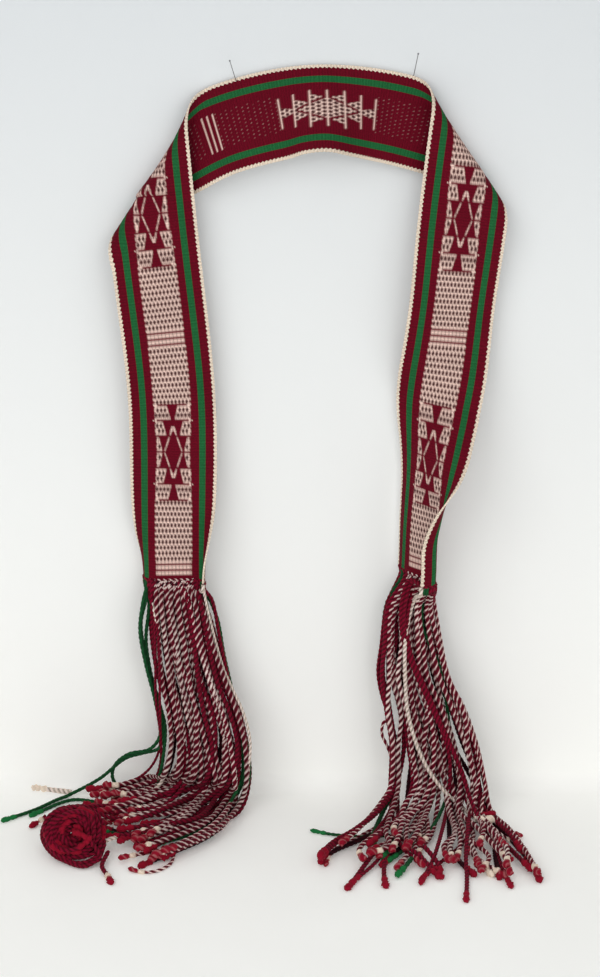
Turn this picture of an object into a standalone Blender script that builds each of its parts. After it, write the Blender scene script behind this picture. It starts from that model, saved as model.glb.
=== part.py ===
"""A woven dance sash hung over two straight pins, with a long fringe at each end.

Units are metres, with X to the right, Y into the wall and Z up. The origin is at the wall, midway
between the two pins. The band is one strip of cloth. Its top section lies against the wall with the
reverse side out, and rolls forward over a slanting fold at each upper corner, so that two legs hang
down with the right side out. The fringes hang from the ends and lie on the floor.
"""

import math

import bmesh
import bpy
import numpy as np

# Cloth
BAND_WIDTH = 0.0889
BAND_THICKNESS = 0.0018
LEFT_LENGTH = 0.638
RIGHT_LENGTH = 0.609
TOP_EDGE_START = (0.0, 0.0185)
WALL_GAP = 0.003
ACROSS_CELLS = 10
FOLD_STEP = 0.0065
LEG_STEP = 0.014
FOLDED_PART = (-0.31, 0.29)
BACK_REACH = 0.23
BACK_LIMIT = 0.016
EDGE_SAMPLES = 1281
ACROSS_SAMPLES = 121

# Corner folds: a point on each fold's start line, the line's slope and the radius of the roll
LEFT_FOLD = {"point": (-0.1228, -0.0254), "slope": 60.3, "radius": 0.012}
RIGHT_FOLD = {"point": (0.0930, -0.0116), "slope": -56.3, "radius": 0.012}

# Course of the band before it is folded, by distance along its upper edge from the middle.
# heading: slope of the edge. slant: tilt of the lines across. lean: how far the lower edge stands
# out from the wall. All three are in degrees.
COURSE_COLUMNS = ("distance", "heading", "slant", "lean")
COURSE = (
    (-0.660, 30.6, 30.6, 0.0),
    (-0.480, 30.6, 30.6, 0.0),
    (-0.400, 25.8, 25.8, 0.0),
    (-0.215, 25.8, 25.8, 0.0),
    (-0.175, 25.8, 25.8, 9.0),
    (-0.145, 25.0, 21.0, 16.0),
    (-0.115, 20.0, 16.5, 19.0),
    (-0.085, 15.0, 13.5, 18.0),
    (-0.055, 10.5, 11.0, 20.0),
    (-0.025, 5.0, 4.0, 29.0),
    (0.000, 0.0, 2.5, 31.0),
    (0.030, -5.0, 0.5, 20.0),
    (0.060, -9.5, -7.0, 14.0),
    (0.085, -13.5, -12.5, 12.0),
    (0.110, -15.6, -15.6, 10.0),
    (0.145, -15.6, -15.6, 5.0),
    (0.180, -16.2, -16.2, 0.0),
    (0.360, -16.2, -16.2, 0.0),
    (0.420, -14.5, -14.5, 0.0),
    (0.470, -15.5, -15.5, 0.0),
    (0.530, -20.0, -20.0, 0.0),
    (0.640, -20.5, -20.5, 0.0),
)

# Turns of the two edges down the legs, by distance from the middle. Angles are in degrees, and an
# edge that comes towards the viewer is positive. A width says how much of the band takes that turn.
TURN_COLUMNS = ("distance", "yaw", "inner_turn", "inner_width", "outer_turn", "outer_width")
TURNS = (
    (-0.660, 3.0, 118.0, 0.026, -100.0, 0.030),
    (-0.615, 3.0, 102.0, 0.026, -84.0, 0.030),
    (-0.590, 2.0, 74.0, 0.025, -56.0, 0.028),
    (-0.560, 1.0, 34.0, 0.024, -30.0, 0.026),
    (-0.510, 0.0, 0.0, 0.024, 0.0, 0.026),
    (-0.250, 0.0, 0.0, 0.024, 0.0, 0.026),
    (0.160, 0.0, 0.0, 0.040, 0.0, 0.024),
    (0.230, -4.0, 0.0, 0.040, 0.0, 0.024),
    (0.340, -11.0, 0.0, 0.040, 0.0, 0.024),
    (0.385, 0.0, 0.0, 0.040, 0.0, 0.024),
    (0.410, 12.0, -4.0, 0.040, -4.0, 0.024),
    (0.430, 20.0, -8.0, 0.042, -6.0, 0.024),
    (0.450, 30.0, -10.0, 0.042, -12.0, 0.024),
    (0.470, 38.0, -14.0, 0.044, -14.0, 0.024),
    (0.490, 44.0, -16.0, 0.044, 10.0, 0.026),
    (0.510, 46.0, -20.0, 0.044, 50.0, 0.030),
    (0.535, 45.0, -24.0, 0.044, 96.0, 0.034),
    (0.560, 42.0, -30.0, 0.044, 118.0, 0.040),
    (0.600, 40.0, -36.0, 0.044, 128.0, 0.040),
    (0.640, 40.0, -36.0, 0.044, 130.0, 0.040),
)

# Fringes
FLOOR_Z = -0.762
HEADER_GAP = 0.0003
HEADER_HEIGHT = 0.006
HEADER_THICKNESS = 0.0036
HEADER_SAMPLES = 180
LOCK_GAP = 0.0016
LOCK_HALF_WIDTH = 0.0044
LOCK_HALF_DEPTH = 0.0044
LAYER_SHIFT = 0.0056
LOCK_RINGS = 22
LOCK_START_SCALE = 0.75
LOCK_END_SCALE = 0.6
LOCK_GROW_RINGS = 4
LOCK_SECTION = ((-1, 0.55), (0, 1), (1, 0.55), (1, -0.55), (0, -1), (-1, -0.55))
ROOT_RUN = 0.010
BEND_HEIGHT = 0.022
BEND_SHIFT = 0.6
LANDING_LIFT = 0.001
DEPTH_WEIGHT = 0.2
CURVE_SAMPLES = 400

# Width and place of the hanging bundle by height
BUNDLE_COLUMNS = ("height", "centre", "half_width", "depth")
LEFT_BUNDLE = (
    (-0.540, -0.1480, 0.024, -0.030),
    (-0.590, -0.1445, 0.029, -0.032),
    (-0.644, -0.1325, 0.034, -0.034),
    (-0.690, -0.1200, 0.036, -0.036),
)
RIGHT_BUNDLE = (
    (-0.530, 0.0895, 0.022, -0.030),
    (-0.574, 0.0895, 0.028, -0.032),
    (-0.655, 0.1070, 0.042, -0.034),
    (-0.690, 0.1160, 0.047, -0.036),
)

# Where each lock of cords runs over the floor, from the left of the bundle to its right
ROUTE_COLUMNS = ("bend_x", "bend_y", "mid_x", "mid_y", "end_x", "end_y")
LEFT_ROUTES = (
    (-0.184, -0.016, -0.245, -0.014, -0.335, -0.078),
    (-0.170, -0.026, -0.214, -0.030, -0.262, -0.034),
    (-0.158, -0.030, -0.206, -0.046, -0.280, -0.058),
    (-0.146, -0.032, -0.200, -0.062, -0.290, -0.082),
    (-0.136, -0.036, -0.194, -0.078, -0.288, -0.104),
    (-0.126, -0.038, -0.186, -0.094, -0.270, -0.124),
    (-0.116, -0.042, -0.176, -0.110, -0.248, -0.144),
    (-0.104, -0.046, -0.160, -0.126, -0.228, -0.164),
    (-0.092, -0.050, -0.136, -0.140, -0.208, -0.184),
)
RIGHT_ROUTES = (
    (0.074, -0.028, 0.045, -0.062, -0.014, -0.098),
    (0.085, -0.032, 0.050, -0.086, 0.000, -0.152),
    (0.097, -0.036, 0.064, -0.108, 0.016, -0.204),
    (0.109, -0.040, 0.082, -0.122, 0.042, -0.230),
    (0.121, -0.044, 0.102, -0.130, 0.078, -0.240),
    (0.133, -0.044, 0.124, -0.130, 0.118, -0.238),
    (0.145, -0.042, 0.146, -0.118, 0.152, -0.210),
    (0.157, -0.040, 0.168, -0.100, 0.190, -0.186),
    (0.169, -0.036, 0.190, -0.076, 0.206, -0.122),
)

# Pins: where each shaft meets the wall, and the way from there to its head
PIN_SHAFT_RADIUS = 0.00036
PIN_HEAD_RADIUS = 0.00095
PIN_LENGTH = 0.043
PIN_IN_WALL = 0.008
PIN_CLEARANCE = 0.00045
PIN_SIDES = 12
PIN_TIP_RADIUS = 0.00008
PIN_TAPER = 0.004
HEAD_DROP = 0.9
HEAD_TURNS = (25, 50, 75, 100, 125, 150, 172)
HOLE_DEPTH = 0.016
LEFT_PIN = {"at": (-0.0856, -0.0040), "aim": (-0.21, -0.56, 0.80)}
RIGHT_PIN = {"at": (0.0856, 0.0040), "aim": (0.10, -0.62, 0.76)}


def clear_scene():
    """Removes whatever the scene holds at the start."""
    for item in list(bpy.data.objects):
        bpy.data.objects.remove(item, do_unlink=True)


def plain_material(name, colour, roughness, metallic=0.0):
    """A Principled material of one colour."""
    material = bpy.data.materials.new(name)
    material.use_nodes = True
    shader = material.node_tree.nodes["Principled BSDF"]
    shader.inputs["Base Color"].default_value = (*colour, 1.0)
    shader.inputs["Roughness"].default_value = roughness
    shader.inputs["Metallic"].default_value = metallic
    return material


def new_object(name, points, faces, material):
    """A mesh object at the origin, with its place in its points."""
    mesh = bpy.data.meshes.new(name)
    mesh.from_pydata([tuple(point) for point in points], [], faces)
    whole = bmesh.new()
    whole.from_mesh(mesh)
    bmesh.ops.recalc_face_normals(whole, faces=whole.faces)
    if whole.calc_volume(signed=True) < 0.0:
        bmesh.ops.reverse_faces(whole, faces=whole.faces)
    whole.to_mesh(mesh)
    whole.free()
    mesh.update()
    mesh.materials.append(material)
    item = bpy.data.objects.new(name, mesh)
    bpy.context.scene.collection.objects.link(item)
    return item


def column(table, columns, name, at):
    """Values of one named column at the given places, eased between the rows."""
    rows = np.array(table)
    places = rows[:, 0]
    values = rows[:, columns.index(name)]
    index = np.clip(np.searchsorted(places, at) - 1, 0, len(places) - 2)
    share = np.clip((at - places[index]) / (places[index + 1] - places[index]), 0.0, 1.0)
    slopes = np.gradient(values, places)
    step = places[index + 1] - places[index]
    cubic = (
        (2 * share**3 - 3 * share**2 + 1) * values[index]
        + (share**3 - 2 * share**2 + share) * step * slopes[index]
        + (3 * share**2 - 2 * share**3) * values[index + 1]
        + (share**3 - share**2) * step * slopes[index + 1]
    )
    return cubic


def ease(share):
    """A smooth step from 0 to 1."""
    share = np.clip(share, 0.0, 1.0)
    return share * share * (3.0 - 2.0 * share)


def edge_course(stations):
    """The upper edge of the band in the wall's plane: its heading is summed along its length."""
    fine = np.linspace(COURSE[0][0], COURSE[-1][0], EDGE_SAMPLES)
    heading = np.radians(column(COURSE, COURSE_COLUMNS, "heading", fine))
    step = fine[1] - fine[0]
    along = np.stack([np.cos(heading), np.sin(heading)], axis=-1) * step
    path = np.concatenate([[[0.0, 0.0]], np.cumsum((along[1:] + along[:-1]) / 2, axis=0)])
    middle = np.array([np.interp(0.0, fine, path[:, axis]) for axis in (0, 1)])
    path = path - middle + np.array(TOP_EDGE_START)
    return np.stack([np.interp(stations, fine, path[:, axis]) for axis in (0, 1)], axis=-1)


def section(stations, across):
    """The cloth's line across: how far each point goes down its slant, and how far it stands out.

    The slope across is the lean of the wall section and the edges' turns on the legs, and it is
    summed from the upper edge at the back, or from the middle on the legs. A leg that turns comes
    forward, so that no part of it goes back further than the limit.
    """
    fine = np.linspace(0.0, BAND_WIDTH, ACROSS_SAMPLES)
    at = stations[:, None]

    def turn(name):
        return column(TURNS, TURN_COLUMNS, name, stations)[:, None]

    lean = column(COURSE, COURSE_COLUMNS, "lean", stations)[:, None]
    inner = ease(1.0 - fine[None, :] / turn("inner_width")) * turn("inner_turn")
    outer_width = turn("outer_width")
    outer = ease((fine[None, :] - (BAND_WIDTH - outer_width)) / outer_width) * turn("outer_turn")
    slope = np.radians(lean - (turn("yaw") + outer - inner))
    step = fine[1] - fine[0]
    rise = np.zeros(slope.shape)
    down = np.zeros(slope.shape)
    rise[:, 1:] = np.cumsum((np.sin(slope[:, 1:]) + np.sin(slope[:, :-1])) / 2 * step, axis=1)
    down[:, 1:] = np.cumsum((np.cos(slope[:, 1:]) + np.cos(slope[:, :-1])) / 2 * step, axis=1)
    anchor = np.where(np.abs(at) < BACK_REACH, 0.0, BAND_WIDTH / 2)
    held = np.argmin(np.abs(fine[None, :] - anchor), axis=1)
    rows = np.arange(len(stations))
    down = down - down[rows, held][:, None] + anchor
    rise = rise - rise[rows, held][:, None]
    excess = np.maximum(rise.max(axis=1, keepdims=True) - BACK_LIMIT, 0.0)
    rise = np.where(np.abs(at) < BACK_REACH, rise, rise - excess)
    down = np.stack([np.interp(across, fine, row) for row in down])
    rise = np.stack([np.interp(across, fine, row) for row in rise])
    return down, rise


def roll_over(flat, rise, fold):
    """Rolls what lies past a fold's start line forward over a round, back on itself."""
    radius = fold["radius"]
    slope = math.radians(fold["slope"])
    line = np.array([math.cos(slope), math.sin(slope)])
    side = np.array([-line[1], line[0]])
    from_line = flat - np.array(fold["point"])
    past = from_line @ side
    along = from_line @ line
    angle = np.clip(past, 0.0, math.pi * radius) / radius
    reach = np.where(past > math.pi * radius, math.pi * radius - past, radius * np.sin(angle))
    reach = np.where(past < 0.0, past, reach) - rise * np.sin(angle)
    out = radius * (1.0 - np.cos(angle)) + rise * np.cos(angle)
    flat = np.array(fold["point"]) + along[..., None] * line + reach[..., None] * side
    return flat, out


def band_surface(stations, across):
    """Middle surface of the cloth as a grid of points, stations along by places across."""
    edge = edge_course(stations)
    slant = np.radians(column(COURSE, COURSE_COLUMNS, "slant", stations))
    downward = np.stack([np.sin(slant), -np.cos(slant)], axis=-1)
    down, rise = section(stations, across)
    flat = edge[:, None, :] + down[..., None] * downward[:, None, :]
    left_flat, left_out = roll_over(flat, rise, LEFT_FOLD)
    right_flat, right_out = roll_over(flat, rise, RIGHT_FOLD)
    is_left = (stations < 0.0)[:, None]
    place = np.where(is_left[..., None], left_flat, right_flat)
    out = np.where(is_left, left_out, right_out)
    return np.stack([place[..., 0], -WALL_GAP - out, place[..., 1]], axis=-1)


def grid_normals(grid):
    """Unit normals of a grid of points."""
    along = np.gradient(grid, axis=0)
    across = np.gradient(grid, axis=1)
    normal = np.cross(along, across)
    return normal / np.linalg.norm(normal, axis=-1, keepdims=True)


def slab_faces(rows, columns):
    """Faces of a closed slab: two grids of points, front then back, and the walls between."""
    index = np.arange(rows * columns).reshape(rows, columns)
    shift = rows * columns
    quads = []
    for row in range(rows - 1):
        for place in range(columns - 1):
            corners = (
                index[row, place],
                index[row + 1, place],
                index[row + 1, place + 1],
                index[row, place + 1],
            )
            quads.append(tuple(int(corner) for corner in corners))
            quads.append(tuple(int(corner + shift) for corner in reversed(corners)))
    rim = [index[0, place] for place in range(columns)]
    rim += [index[row, columns - 1] for row in range(1, rows)]
    rim += [index[rows - 1, place] for place in range(columns - 2, -1, -1)]
    rim += [index[row, 0] for row in range(rows - 2, 0, -1)]
    for place, corner in enumerate(rim):
        after = rim[(place + 1) % len(rim)]
        quads.append((int(corner), int(after), int(after + shift), int(corner + shift)))
    return quads


def band_stations():
    """Distances along the band, close together where it rolls over the corners."""
    first, last = FOLDED_PART
    left = np.linspace(-LEFT_LENGTH, first, round((LEFT_LENGTH + first) / LEG_STEP))
    top = np.linspace(first, last, round((last - first) / FOLD_STEP))
    right = np.linspace(last, RIGHT_LENGTH, round((RIGHT_LENGTH - last) / LEG_STEP))
    return np.concatenate([left, top[1:], right[1:]])


def pin_frame(pin):
    """The place of a pin's shaft at the wall, and the unit way along it to the head."""
    aim = np.array(pin["aim"])
    return np.array([pin["at"][0], 0.0, pin["at"][1]]), aim / np.linalg.norm(aim)


def turned(name, profile, start, aim, material):
    """A round piece: a profile of (distance along, radius) turned about the line from start."""
    side = np.cross(aim, (1.0, 0.0, 0.0))
    side /= np.linalg.norm(side)
    other = np.cross(aim, side)
    points = []
    for distance, radius in profile:
        for turn in np.arange(PIN_SIDES) / PIN_SIDES * math.tau:
            round_way = math.cos(turn) * side + math.sin(turn) * other
            points.append(start + distance * aim + radius * round_way)
    faces = [tuple(range(PIN_SIDES - 1, -1, -1))]
    for ring in range(len(profile) - 1):
        for place in range(PIN_SIDES):
            after = (place + 1) % PIN_SIDES
            low = ring * PIN_SIDES
            high = low + PIN_SIDES
            faces.append((low + place, low + after, high + after, high + place))
    last = (len(profile) - 1) * PIN_SIDES
    faces.append(tuple(range(last, last + PIN_SIDES)))
    return new_object(name, points, faces, material)


def make_pin(name, pin, material):
    """A straight pin: a tapered point in the wall, a thin shaft and a small round head."""
    start, aim = pin_frame(pin)
    tip = -PIN_IN_WALL
    head = PIN_LENGTH - PIN_IN_WALL
    profile = [(tip, PIN_TIP_RADIUS), (tip + PIN_TAPER, PIN_SHAFT_RADIUS)]
    profile.append((head - PIN_HEAD_RADIUS, PIN_SHAFT_RADIUS))
    for turn in HEAD_TURNS:
        angle = math.radians(turn)
        place = head + PIN_HEAD_RADIUS * (1.0 - math.cos(angle) - HEAD_DROP)
        profile.append((place, max(PIN_HEAD_RADIUS * math.sin(angle), PIN_SHAFT_RADIUS / 3)))
    item = turned(name, profile, start, aim, material)
    item.data.shade_smooth()
    return item


def make_band(material):
    """The whole woven band as one closed slab, with a fine hole where each pin goes through."""
    stations = band_stations()
    across = np.linspace(0.0, BAND_WIDTH, ACROSS_CELLS + 1)
    middle = band_surface(stations, across)
    offset = grid_normals(middle) * BAND_THICKNESS / 2
    points = np.concatenate([(middle - offset).reshape(-1, 3), (middle + offset).reshape(-1, 3)])
    band = new_object("sash_band", points, slab_faces(len(stations), len(across)), material)
    for name, pin in (("left", LEFT_PIN), ("right", RIGHT_PIN)):
        start, aim = pin_frame(pin)
        bore = PIN_SHAFT_RADIUS + PIN_CLEARANCE
        profile = [(0.0, bore), (HOLE_DEPTH, bore)]
        cutter = turned(f"cutter_{name}", profile, start, aim, material)
        cutter.hide_render = True
        cutter.display_type = "WIRE"
        hole = band.modifiers.new(f"hole_{name}", "BOOLEAN")
        hole.object = cutter
        hole.operation = "DIFFERENCE"
    return band


def smooth_path(points, count):
    """Points evenly spread on a smooth curve through the given ones."""
    points = np.array(points)
    lengths = np.linalg.norm(np.diff(points, axis=0), axis=1)
    places = np.concatenate([[0.0], np.cumsum(np.sqrt(lengths))])
    slopes = np.gradient(points, places, axis=0)
    fine = np.linspace(0.0, places[-1], CURVE_SAMPLES)
    index = np.clip(np.searchsorted(places, fine) - 1, 0, len(places) - 2)
    step = (places[index + 1] - places[index])[:, None]
    share = (fine[:, None] - places[index][:, None]) / step
    curve = (
        (2 * share**3 - 3 * share**2 + 1) * points[index]
        + (share**3 - 2 * share**2 + share) * step * slopes[index]
        + (3 * share**2 - 2 * share**3) * points[index + 1]
        + (share**3 - share**2) * step * slopes[index + 1]
    )
    run = np.concatenate([[0.0], np.cumsum(np.linalg.norm(np.diff(curve, axis=0), axis=1))])
    even = np.linspace(0.0, run[-1], count)
    return np.stack([np.interp(even, run, curve[:, axis]) for axis in range(3)], axis=-1)


def lock_path(root, away, spread, depth_shift, bundle, route):
    """A lock's centre line: out of the header, down through the bundle and over the floor."""
    points = [root, root + away * ROOT_RUN]
    for row in bundle:
        values = dict(zip(BUNDLE_COLUMNS, row))
        x = values["centre"] + spread * values["half_width"]
        points.append(np.array([x, values["depth"] + depth_shift, values["height"]]))
    floor = FLOOR_Z + LOCK_HALF_DEPTH
    values = dict(zip(ROUTE_COLUMNS, route))
    bend_y = values["bend_y"] + depth_shift * BEND_SHIFT
    bend = np.array([values["bend_x"], bend_y, floor + BEND_HEIGHT])
    middle = np.array([values["mid_x"], values["mid_y"], floor])
    end = np.array([values["end_x"], values["end_y"], floor])
    landing = (bend + middle) / 2
    landing[2] = floor + LANDING_LIFT
    points += [bend, landing, middle, end]
    path = smooth_path(points, LOCK_RINGS)
    path[:, 2] = np.maximum(path[:, 2], floor)
    return path


def make_fringe(name, end, bundle, routes, material):
    """One comb: a header bar along the band's end, with a lock of cords for each tooth."""
    toward = 1.0 if end > 0 else -1.0
    near = end + toward * HEADER_GAP
    far = near + toward * HEADER_HEIGHT
    count = len(routes)
    pitch = BAND_WIDTH / count
    places = []
    for tooth in range(count):
        start = tooth * pitch + LOCK_GAP / 2
        places += [start, start + (pitch - LOCK_GAP) / 2, start + pitch - LOCK_GAP]
    places = np.array(places)
    stations = np.array([near, far]) if toward > 0 else np.array([far, near])
    fine = np.linspace(0.0, BAND_WIDTH, HEADER_SAMPLES + 1)
    surface = band_surface(stations, fine)
    offset = grid_normals(surface) * HEADER_THICKNESS / 2
    if toward < 0:
        surface = surface[::-1]
        offset = offset[::-1]
    pick = [int(round(place / BAND_WIDTH * HEADER_SAMPLES)) for place in places]
    top, bottom = surface[0][pick], surface[1][pick]
    shift_top, shift_bottom = offset[0][pick], offset[1][pick]
    number = len(pick)
    points = list(top - shift_top) + list(top + shift_top)
    points += list(bottom - shift_bottom) + list(bottom + shift_bottom)
    faces = []
    for place in range(number - 1):
        after = place + 1
        faces.append((place, after, number + after, number + place))
        faces.append((place, 2 * number + place, 2 * number + after, after))
        faces.append((number + place, number + after, 3 * number + after, 3 * number + place))
        if place % 3 == 2:
            low, back = 2 * number, 3 * number
            faces.append((low + place, back + place, back + after, low + after))
    last = number - 1
    faces.append((0, number, 3 * number, 2 * number))
    faces.append((last, 2 * number + last, 3 * number + last, number + last))

    roots = bottom[1::3]
    away = (bottom - top)[1::3]
    away /= np.linalg.norm(away, axis=1, keepdims=True)
    depth = (roots[:, 1].max() + roots[:, 1].min()) / 2
    order = np.argsort(np.argsort(roots[:, 0] + DEPTH_WEIGHT * (depth - roots[:, 1])))
    for tooth in range(count):
        spread = (order[tooth] - (count - 1) / 2) / ((count - 1) / 2)
        layer = LAYER_SHIFT * (1.0 if order[tooth] % 2 else -1.0)
        route = routes[order[tooth]]
        path = lock_path(roots[tooth], away[tooth], spread, layer, bundle, route)
        add_lock(points, faces, path, tooth, number)
    return new_object(name, points, faces, material)


def add_lock(points, faces, path, tooth, number):
    """Adds a six-sided lock from the header's lower face along its path, closed at its end."""
    low = 2 * number
    back = 3 * number
    first = 3 * tooth
    ring = [low + first, low + first + 1, low + first + 2]
    ring += [back + first + 2, back + first + 1, back + first]
    across = np.array(points[ring[2]]) - np.array(points[ring[0]])
    tangents = np.gradient(path, axis=0)
    tangents /= np.linalg.norm(tangents, axis=1, keepdims=True)
    to_front = np.array(points[ring[1]]) - np.array(points[ring[4]])
    hand = math.copysign(1.0, np.cross(across, tangents[0]) @ to_front)
    for step in range(1, len(path)):
        across = across - (across @ tangents[step]) * tangents[step]
        across /= np.linalg.norm(across)
        outward = np.cross(across, tangents[step]) * hand
        grown = min(1.0, step / LOCK_GROW_RINGS)
        grow = LOCK_START_SCALE + (1.0 - LOCK_START_SCALE) * grown
        if step == len(path) - 1:
            grow = LOCK_END_SCALE
        wide = LOCK_HALF_WIDTH * grow
        deep = LOCK_HALF_DEPTH * grow
        fresh = []
        for side, rise in LOCK_SECTION:
            fresh.append(len(points))
            points.append(path[step] + side * wide * across + rise * deep * outward)
        for place in range(6):
            after = (place + 1) % 6
            faces.append((ring[place], fresh[place], fresh[after], ring[after]))
        ring = fresh
    faces.append(tuple(reversed(ring)))


def main():
    """Builds each piece of the sash."""
    clear_scene()
    wool = plain_material("woven_wool", (0.22, 0.02, 0.04), 0.85)
    plied = plain_material("plied_wool_cord", (0.50, 0.22, 0.18), 0.85)
    steel = plain_material("pin_steel", (0.42, 0.42, 0.43), 0.3, 1.0)
    make_band(wool)
    make_fringe("fringe_left", -LEFT_LENGTH, LEFT_BUNDLE, LEFT_ROUTES, plied)
    make_fringe("fringe_right", RIGHT_LENGTH, RIGHT_BUNDLE, RIGHT_ROUTES, plied)
    make_pin("pin_left", LEFT_PIN, steel)
    make_pin("pin_right", RIGHT_PIN, steel)


main()
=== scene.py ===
"""A dance sash hung over two pins: the woven band, its plied fringes, the pins and a plain setting."""

import logging
import math
from dataclasses import dataclass, field
from enum import Enum
from typing import Any

import bpy
import numpy as np
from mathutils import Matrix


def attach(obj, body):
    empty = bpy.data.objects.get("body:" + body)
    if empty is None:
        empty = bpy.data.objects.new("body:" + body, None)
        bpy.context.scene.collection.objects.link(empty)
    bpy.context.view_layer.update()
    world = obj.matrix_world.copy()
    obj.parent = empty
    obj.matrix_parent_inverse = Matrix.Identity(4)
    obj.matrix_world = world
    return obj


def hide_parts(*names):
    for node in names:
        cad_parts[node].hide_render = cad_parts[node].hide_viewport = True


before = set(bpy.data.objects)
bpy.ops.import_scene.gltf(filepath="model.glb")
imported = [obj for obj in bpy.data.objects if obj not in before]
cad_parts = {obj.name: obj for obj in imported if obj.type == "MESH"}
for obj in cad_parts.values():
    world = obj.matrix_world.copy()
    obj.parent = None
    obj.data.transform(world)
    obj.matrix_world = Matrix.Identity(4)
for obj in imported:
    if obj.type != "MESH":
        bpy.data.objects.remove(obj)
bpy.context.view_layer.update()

LOG = logging.getLogger("sash")
MM = 0.001
BODY = "root"


def linear(hex_code: str) -> tuple[float, float, float, float]:
    """Turns an sRGB hex colour to linear light.

    Args:
        hex_code: the colour as "#rrggbb".

    Returns:
        Red, green, blue and an alpha of 1.
    """
    parts = [int(hex_code[place : place + 2], 16) / 255 for place in (1, 3, 5)]
    low = [part / 12.92 if part <= 0.04045 else ((part + 0.055) / 1.055) ** 2.4 for part in parts]
    return (low[0], low[1], low[2], 1.0)


class Yarn(Enum):
    """The dyed yarns of the sash, as sRGB."""

    RED = "#6c041d"
    # DEEP_RED and MAROON colour the dark cords at the back of the fringe: partly real dark red, partly
    # painted shade
    DEEP_RED = "#52041a"
    GREEN = "#226a3a"
    DEEP_GREEN = "#194a2a"
    MAROON = "#2c0413"
    PINK_CREAM = "#ffdccf"
    CREAM = "#fbe8d3"
    CORD_RED = "#84062a"
    CORD_CREAM = "#ffece4"
    TUFT_RED = "#980c28"
    TUFT_GREEN = "#1f7a40"

    @property
    def rgb(self) -> np.ndarray:
        """The yarn's colour in linear light."""
        return np.array(linear(self.value))


def node(tree: bpy.types.NodeTree, kind: str, links: dict[str, Any] | None = None, **settings: Any) -> Any:
    """Adds a shader node with its settings, constant inputs and links.

    Args:
        tree: the node tree that takes it.
        kind: the node's type name.
        links: input name or number to a socket that feeds it, or to a constant.
        settings: attributes of the node.

    Returns:
        The new node.
    """
    made = tree.nodes.new(kind)
    for name, value in settings.items():
        setattr(made, name, value)
    for name, value in (links or {}).items():
        if isinstance(value, bpy.types.NodeSocket):
            tree.links.new(value, made.inputs[name])
        else:
            made.inputs[name].default_value = value
    return made


def new_material(name: str) -> tuple[bpy.types.Material, bpy.types.NodeTree, Any]:
    """A new node material.

    Args:
        name: the material's name.

    Returns:
        The material, its tree and its Principled shader.
    """
    material = bpy.data.materials.new(name)
    material.use_nodes = True
    tree = material.node_tree
    return material, tree, tree.nodes["Principled BSDF"]


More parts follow.
